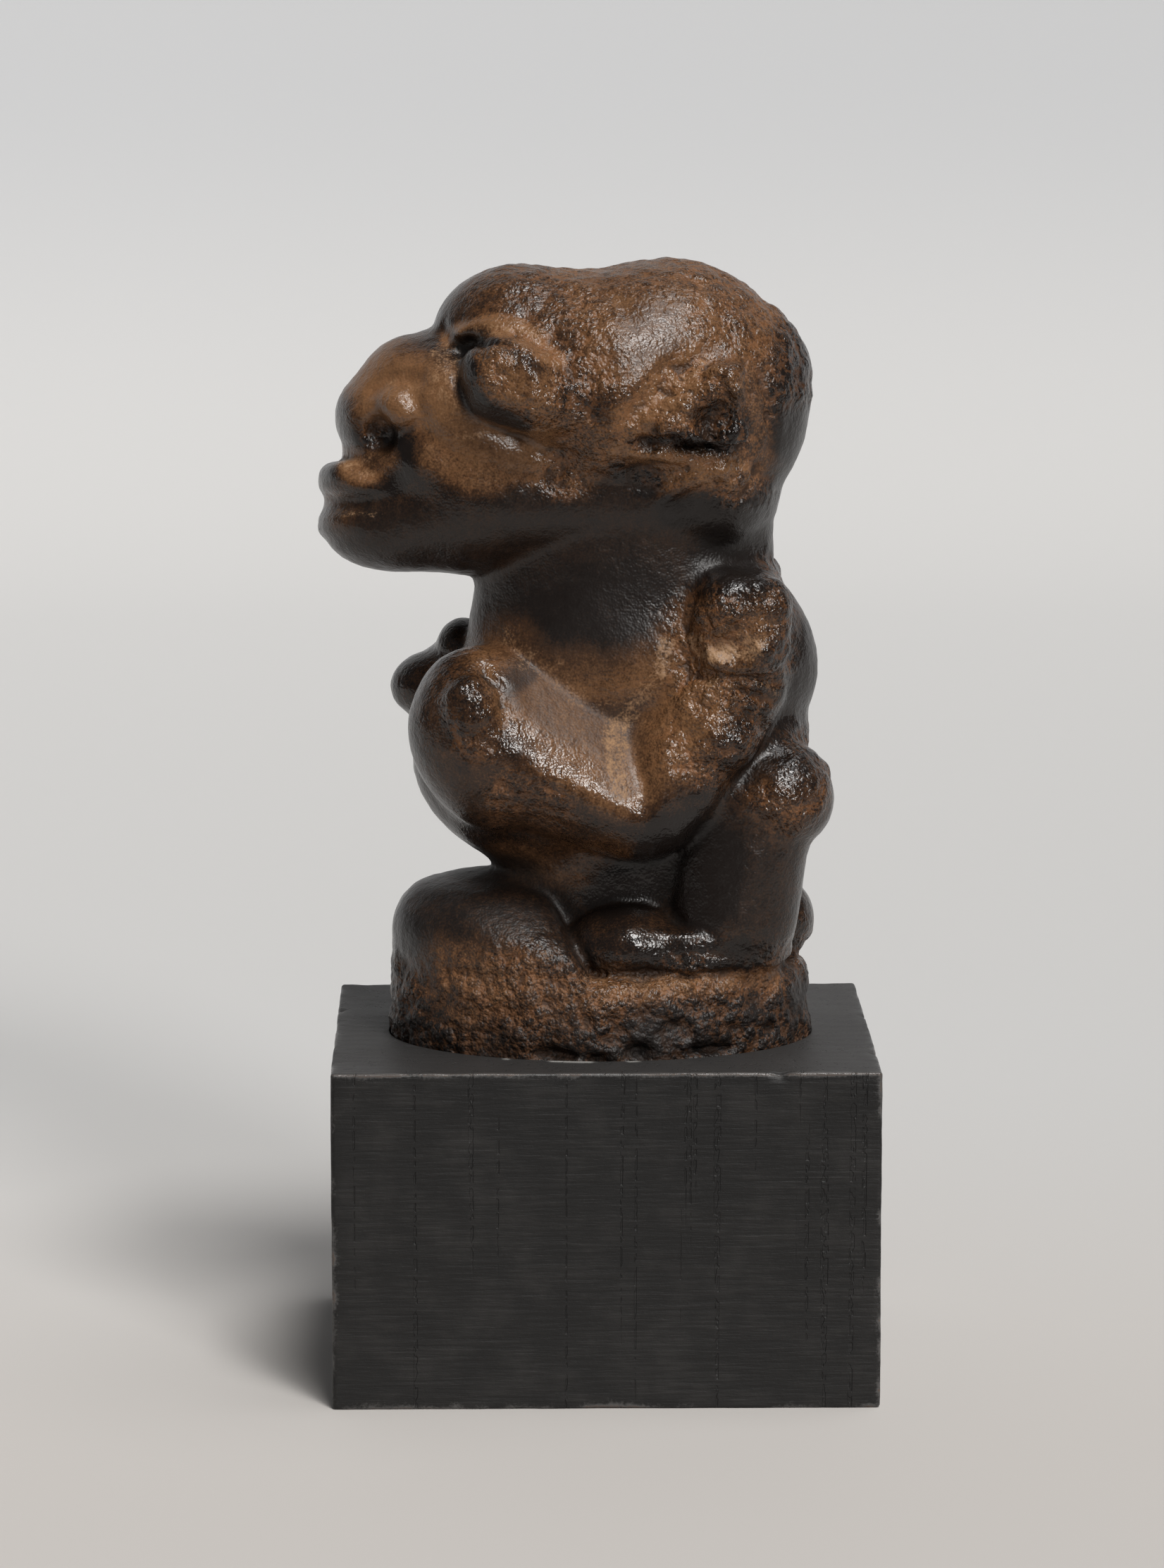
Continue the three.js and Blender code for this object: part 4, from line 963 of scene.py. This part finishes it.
def makeStone(s):
    low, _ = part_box("stone_figure")
    stone = carveFigure(s)
    report("stone carved")
    points, quads = stone.surface()
    points = evened(points, quads, 1)
    points[points[:, 2] < s["flatBelow"], 2] = 0
    moved, rough = weather(points, quads, s)
    normals = meshNormals(moved, quads)
    out = proud(moved, quads, normals)
    sheltered = sum(share * shelter(stone, moved, normals, reach) for reach, share in s["shelter"])
    even = painted(moved, s["smooth"])
    layers = {
        "rough": rough,
        "even": even,
        # the strokes of black patina and painted shade are taken off the tone
        "tone": painted(moved, s["tone"]) * (1 - 0.3 * even) - painted(moved, s["darkPatinaAndShade"]),
        # dust settles on what faces up
        "earth": painted(moved, s["earth"]) * np.clip(0.75 + 0.6 * normals[:, 2], 0.2, 1),
        # painted shade: darker where the surface is enclosed or sunk
        "hollow": np.clip(evened(sheltered, quads, 2) * 1.3 - 0.25 + 0.6 * np.clip(-3 * out, 0, 1), 0, 1),
        "raised": np.clip(0.5 + 1.6 * out, 0, 1),
        "polished": painted(moved, s["polished"]),
        "dull": painted(moved, s["dull"]),
    }
    # the figure's own underside sits at the foot of the frame's node
    piece = makeMesh("carvedFigure", moved + (0, s["standsAt"], low[2] / mm), quads)
    for name, values in layers.items():
        paintPoints(piece, name, values)
    piece.data.materials.append(stoneFinish(s["colours"]))
    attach(piece, "root")
    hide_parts("stone_figure")
    report(f"stone meshed, {2 * len(quads)} triangles")


# The wooden block
woodPlinth = {
    "half": (62.0, 52.0),  # mm
    "height": 77.6,
    "corner": 0.9,  # rounding of the upright edges
    "rim": 0.7,  # and of the top and bottom ones
    "bends": 5,  # flat strips round each rounded edge
    "recess": {"at": (-0.5, -3.0), "half": (48.9, 36.0), "deep": 8.0, "rim": 0.35, "bends": 4},
    "around": 1.3,  # mm between points round the block
    "down": 1.6,  # and down its sides
    "wear": 0.22,  # mm lost along the edges
    "wearReach": 1.1,  # mm in from the edges
    "chips": (  # middle, radius, how deep
        ((39.0, -52.0, 77.6), 2.4, 1.4), ((61.8, -30, 77.6), 2.0, 0.8),
        ((-62, 20, 77.6), 2.4, 0.8), ((62, 12, 77.6), 1.8, 0.8),
    ),
    "frontLine": 0.9,  # mm, half the width of the painted highlight line along the top front edge
    "gleams": ((-23, -22), (-12.6, -3), (5, 7.2)),  # bright places of the seam before the stone, along x
    "gleamAt": 1.02,  # of the recess's half size
    "gleamWidth": 0.9,  # mm
    "gleamFade": 0.6,  # mm past the ends
    "sawPitch": 0.95,  # mm between the saw lines on the top
    "colours": {
        "paint": (0.0085, 0.0080, 0.0078),
        "worn": (0.021, 0.0195, 0.0185),
        # the top is painted lighter than the sides: painted light from above, with its sheen
        "top": (0.041, 0.039, 0.038),
        "topLine": (0.014, 0.0135, 0.013),
        # pale grey on the edges: rubbed paint, and a painted highlight
        "rim": (0.085, 0.082, 0.080),
        "wood": (0.11, 0.055, 0.028),
        "gleam": (0.42, 0.41, 0.39),
    },
}


def spacedPlaces(length, spacing, dense=0.22, reach=1.6):
    # places along a side, close together near both ends
    near = np.arange(0, reach, dense)
    count = max(int((length - 2 * reach) / spacing), 1)
    middle = reach + (length - 2 * reach) * np.arange(count + 1) / count
    return np.concatenate([near, middle, length - near[::-1]])


def blockOutline(w):
    # the block seen from above: points round it and the way each faces
    (a, b), r, bends = w["half"], w["corner"], w["bends"]
    points, facing = [], []
    for n, (cx, cy) in enumerate(((a, -b), (a, b), (-a, b), (-a, -b))):
        start = math.radians(-90 + 90 * n)
        middle = (cx - math.copysign(r, cx), cy - math.copysign(r, cy))
        for k in range(bends + 1):
            angle = start + math.pi / 2 * k / bends
            way = (math.cos(angle), math.sin(angle))
            last = (middle[0] + r * way[0], middle[1] + r * way[1])
            points.append(last)
            facing.append(way)
        length = 2 * (b if n % 2 == 0 else a) - 2 * r
        for d in spacedPlaces(length, w["around"])[1:-1]:
            points.append((last[0] - way[1] * d, last[1] + way[0] * d))
            facing.append(way)
    return np.array(points), np.array(facing)


def plinthRings(w):
    # rings of points from the middle of the recess out over the top, down the sides and in below
    outline, facing = blockOutline(w)
    hollow, rim, top, bends = w["recess"], w["rim"], w["height"], w["bends"]
    centre, half, floor = np.array(hollow["at"]), np.array(hollow["half"]), top - hollow["deep"]
    angles = np.arctan2((outline[:, 1] - centre[1]) / half[1], (outline[:, 0] - centre[0]) / half[0])
    ovalWay = np.stack([np.cos(angles), np.sin(angles)], 1)
    rings = []

    def ring(flat, z):
        rings.append(np.column_stack([flat, np.full(len(flat), z)]))

    def bend(k, steps):
        # how far round a rounded rim, as the two sides' shares
        turn = math.pi / 2 * k / steps
        return 1 - math.cos(turn), 1 - math.sin(turn)

    for share in (0.02, 0.2, 0.4, 0.6, 0.8, 0.95, 1.0):
        ring(centre + ovalWay * half * share, floor)
    for z in np.linspace(floor, top - hollow["rim"], 7)[1:]:
        ring(centre + ovalWay * half, z)
    for k in range(1, hollow["bends"] + 1):
        across, down = bend(k, hollow["bends"])
        ring(centre + ovalWay * (half + hollow["rim"] * across), top - hollow["rim"] * down)
    inner = centre + ovalWay * (half + hollow["rim"])
    outer = outline - facing * rim
    for share in np.concatenate([np.linspace(0, 0.9, 17)[1:], (0.94, 0.97, 1.0)]):
        ring(inner + (outer - inner) * share, top)
    for k in range(1, bends + 1):
        down, across = bend(k, bends)
        ring(outline - facing * rim * across, top - rim * down)
    for z in top - rim - spacedPlaces(top - 2 * rim, w["down"])[1:-1]:
        ring(outline, z)
    for k in range(bends + 1):
        across, up = bend(k, bends)
        ring(outline - facing * rim * across, rim * up)
    for share in (0.9, 0.6, 0.3, 0.02):
        ring(outer * share, 0.0)
    return np.array(rings)


def plinthMesh(w):
    rings = plinthRings(w)
    rows, count = rings.shape[:2]
    points = rings.reshape(-1, 3)
    here = np.arange(count)
    beside = (here + 1) % count
    quads = []
    for r in range(0, (rows - 1) * count, count):
        quads.append(np.stack([r + here, r + count + here, r + count + beside, r + beside], 1))
    # small fans close the middle of the recess and of the underside
    ends = np.array([points[:count].mean(0), points[-count:].mean(0)])
    fan = np.stack([here[::2], (here[::2] + 1) % count, (here[::2] + 2) % count], 1)
    middle = np.full((len(fan), 1), rows * count)
    quads.append(np.hstack([middle, fan]))
    quads.append(np.hstack([middle + 1, fan[:, ::-1] + (rows - 1) * count]))
    return np.vstack([points, ends]), np.concatenate(quads)


def edgeNearness(points, w):
    # 1 on the block's outer edges, falling to 0 a few mm away
    a, b, top = *w["half"], w["height"]
    x, y, z = points.T
    gaps = np.stack([a - abs(x), b - abs(y), np.minimum(top - z, z)], 1)
    return np.exp(-np.sort(gaps, axis=1)[:, 1] / w["wearReach"])


def makePlinth(w):
    points, quads = plinthMesh(w)
    x, y, z = points.T
    edge = edgeNearness(points, w)
    # dents and waves of the surface, and what has worn off the edges
    away = 0.05 * waves(points, 24, 21) + 0.04 * waves(points, 7, 22)
    uneven = np.clip(0.45 + 0.9 * waves(points, 6, 23) + 0.5 * waves(points, 2.3, 24), 0, 1.4)
    depth = edge * w["wear"] * uneven - away
    for at, radius, deep in w["chips"]:
        gap = np.linalg.norm(points - at, axis=1) / radius
        depth += deep * np.clip(1.2 - gap, 0, 1) ** 1.5 * (1 + 0.3 * waves(points, 1.2, 25))
    recess = w["recess"]
    fromMiddle = np.linalg.norm((points[:, :2] - recess["at"]) / recess["half"], axis=1)
    depth[(fromMiddle < 1.01) & (z > 1)] = 0  # the recess and the underside keep their size
    depth[z < 0.01] = 0
    piece = makeMesh("paintedBlock", points - meshNormals(points, quads) * depth[:, None], quads)
    # the edges: rubbed paint with a painted highlight; along the top front edge, a painted highlight line
    edgeWearAndHighlight = edge * (0.5 + 0.7 * waves(points, 9, 26) + 0.5 * waves(points, 3, 27))
    frontHighlight = np.exp(-(np.hypot(y + w["half"][1], z - w["height"]) / w["frontLine"]) ** 2)
    wear = np.maximum(edgeWearAndHighlight, frontHighlight * (0.95 + 0.5 * waves(points, 5, 28)))
    fromSeam = abs(fromMiddle - w["gleamAt"]) * recess["half"][1]
    gleam = np.exp(-(fromSeam / w["gleamWidth"]) ** 2) * (y < 0) * (z > w["height"] - 1)
    spans = [np.clip((b - a) / 2 + w["gleamFade"] - abs(x - (a + b) / 2), 0, 1) for a, b in w["gleams"]]
    gleam *= np.max(spans, axis=0)
    # wear holds both the rubbed edges and the painted highlight line
    paintPoints(piece, "wear", np.clip(wear, 0, 1))
    paintPoints(piece, "gleam", gleam)
    piece.data.materials.append(woodFinish(w))
    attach(piece, "root")
    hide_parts("wood_plinth")
    report(f"plinth meshed, {2 * len(quads)} triangles")


def woodFinish(w):
    material, tree = newMaterial("blackPaintedWood")
    c = w["colours"]
    place = node(tree, "TexCoord").outputs["Object"]
    wear = attribute(tree, "wear")
    facing = node(tree, "SeparateXYZ", Vector=node(tree, "NewGeometry").outputs["True Normal"])
    up = ramp(tree, facing.outputs["Z"], 0.5, 0.9)
    patches = noise(tree, place, 9, 4)
    fine = noise(tree, place, 0.6, 3)
    # brush marks lie along the faces, lines of pores run down them, saw marks run across the top
    brush = noise(tree, stretched(tree, place, (0.07, 1, 1), 2.5), 0.9, 4, 0.6)
    lines = ramp(tree, noise(tree, stretched(tree, place, (1, 1, 0.012)), 2.0, 1, 0.5), 0.62, 0.66)
    dashes = ramp(tree, noise(tree, stretched(tree, place, (1, 1, 0.4)), 1.0, 1, 0.5), 0.46, 0.54)
    pores = times(tree, lines, dashes)
    bands = {"bands_direction": "Y", "wave_profile": "SIN"}
    sawScale = math.tau / 20 / (w["sawPitch"] * mm)  # the texture makes 20 radians a metre at 1
    saw = node(
        tree, "TexWave", bands, Vector=place, Scale=sawScale, Distortion=1.2, Detail=2.0, Detail_Scale=0.6
    ).outputs["Fac"]
    sawShare = times(tree, up, ramp(tree, noise(tree, place, 60, 2), 0.40, 0.62, 0.25, 1.0))
    dulled = ramp(tree, total(tree, (patches, 0.7), (brush, 0.5)), 0.5, 0.85)
    colour = blendColour(tree, dulled, c["paint"], c["worn"])
    # painted highlight on the edges, over the rubbed paint, in the rim colour
    rubbedAndHighlighted = ramp(tree, total(tree, (wear, 1.0), (fine, 0.8)), 0.6, 1.1)
    colour = blendColour(tree, rubbedAndHighlighted, colour, c["rim"])
    bare = ramp(tree, total(tree, (wear, 1.0), (fine, 0.6), (patches, 0.3)), 1.05, 1.3)
    colour = blendColour(tree, bare, colour, c["wood"])
    sawn = times(tree, total(tree, (saw, 0.7), (brush, 0.4), (1.0, -0.4)), sawShare, clamp=True)
    topColour = blendColour(tree, sawn, c["top"], c["topLine"])
    # painted light: faces turned up take the lighter top colour
    colour = blendColour(tree, times(tree, up, 0.8), colour, topColour)
    # more of the painted edge highlight
    colour = blendColour(tree, times(tree, rubbedAndHighlighted, ramp(tree, wear, 0.45, 0.9, 0.0, 0.8)), colour, c["rim"])
    colour = blendColour(tree, attribute(tree, "gleam"), colour, c["gleam"])
    roughness = total(tree, (patches, 0.12), (fine, 0.14), (wear, -0.34), (1.0, 0.40))
    relief = total(
        tree,
        (times(tree, brush, maths(tree, "SUBTRACT", 1.0, up)), 0.26),
        (times(tree, saw, sawShare), 0.24),
        (pores, -0.22),
        (fine, 0.05),
    )
    finishSurface(tree, colour, roughness, 0.36, relief)
    return material


def makeStudio(s):
    # a floor that sweeps up into a wall behind
    back, sweep, steps = s["floorBack"], s["sweep"], 32
    profile = [(-s["floorFront"], 0), (back, 0)]
    for n in range(1, steps + 1):
        angle = math.pi / 2 * n / steps
        profile.append((back + sweep * math.sin(angle), sweep - sweep * math.cos(angle)))
    profile.append((back + sweep, s["wallHeight"]))
    points = [(side * s["halfWidth"], y, z) for y, z in profile for side in (-1, 1)]
    quads = [(2 * n, 2 * n + 1, 2 * n + 3, 2 * n + 2) for n in range(len(profile) - 1)]
    floor = makeMesh("floor", np.array(points, float), np.array(quads))
    material, tree = newMaterial("paleFloor")
    place = node(tree, "SeparateXYZ", Vector=node(tree, "TexCoord").outputs["Object"]).outputs
    colour = blendColour(tree, ramp(tree, place["Y"], -0.12, 0.36), s["frontColour"], s["backColour"])
    colour = blendColour(tree, ramp(tree, place["Z"], 0.0, 0.22), colour, s["wallColour"])
    # painted shade: the backdrop darkens towards the right
    fade = ramp(tree, place["X"], -0.5, 0.6, 1.0, 1 - s["fadeRight"])
    colour = blendColour(tree, 1.0, colour, fade, "MULTIPLY")
    inputs = tree.nodes["Principled BSDF"].inputs
    plug(tree, inputs["Base Color"], colour)
    plug(tree, inputs["Roughness"], 0.9)
    floor.data.materials.append(material)


def lightFrom(name, light):
    lamp = bpy.data.lights.new(name, "SUN")
    lamp.angle = math.radians(light["spread"])
    lamp.energy = light["power"]
    lamp.color = light["colour"]
    around, up = math.radians(light["round"]), math.radians(light["up"])
    away = Vector((math.sin(around) * math.cos(up), -math.cos(around) * math.cos(up), math.sin(up)))
    holder = bpy.data.objects.new(name, lamp)
    holder.location = away * 2  # metres, though only the direction counts
    holder.rotation_euler = (-away).to_track_quat("-Z", "Y").to_euler()
    bpy.context.scene.collection.objects.link(holder)


def makeLights(s):
    for name, light in s["lights"].items():
        lightFrom(name, light)
    world = bpy.data.worlds.new("softSky")
    world.use_nodes = True
    sky = world.node_tree.nodes["Background"]
    sky.inputs["Color"].default_value = (*s["skyColour"], 1)
    sky.inputs["Strength"].default_value = s["skyStrength"]
    bpy.context.scene.world = world


def makeCamera(c):
    lens = bpy.data.cameras.new("camera")
    lens.lens = c["lens"]
    lens.clip_start, lens.clip_end = 0.05, 30  # metres
    holder = bpy.data.objects.new("camera", lens)
    holder.location = Vector(c["place"]) * mm
    holder.rotation_euler = (math.radians(90 - c["down"]), 0, -math.radians(c["turn"]))
    bpy.context.scene.collection.objects.link(holder)
    bpy.context.scene.camera = holder


makeCamera(camera)
makeStone(stoneFigure)
makePlinth(woodPlinth)
makeStudio(studio)
makeLights(studio)
bpy.context.scene.view_settings.view_transform = "Standard"
report("studio ready")
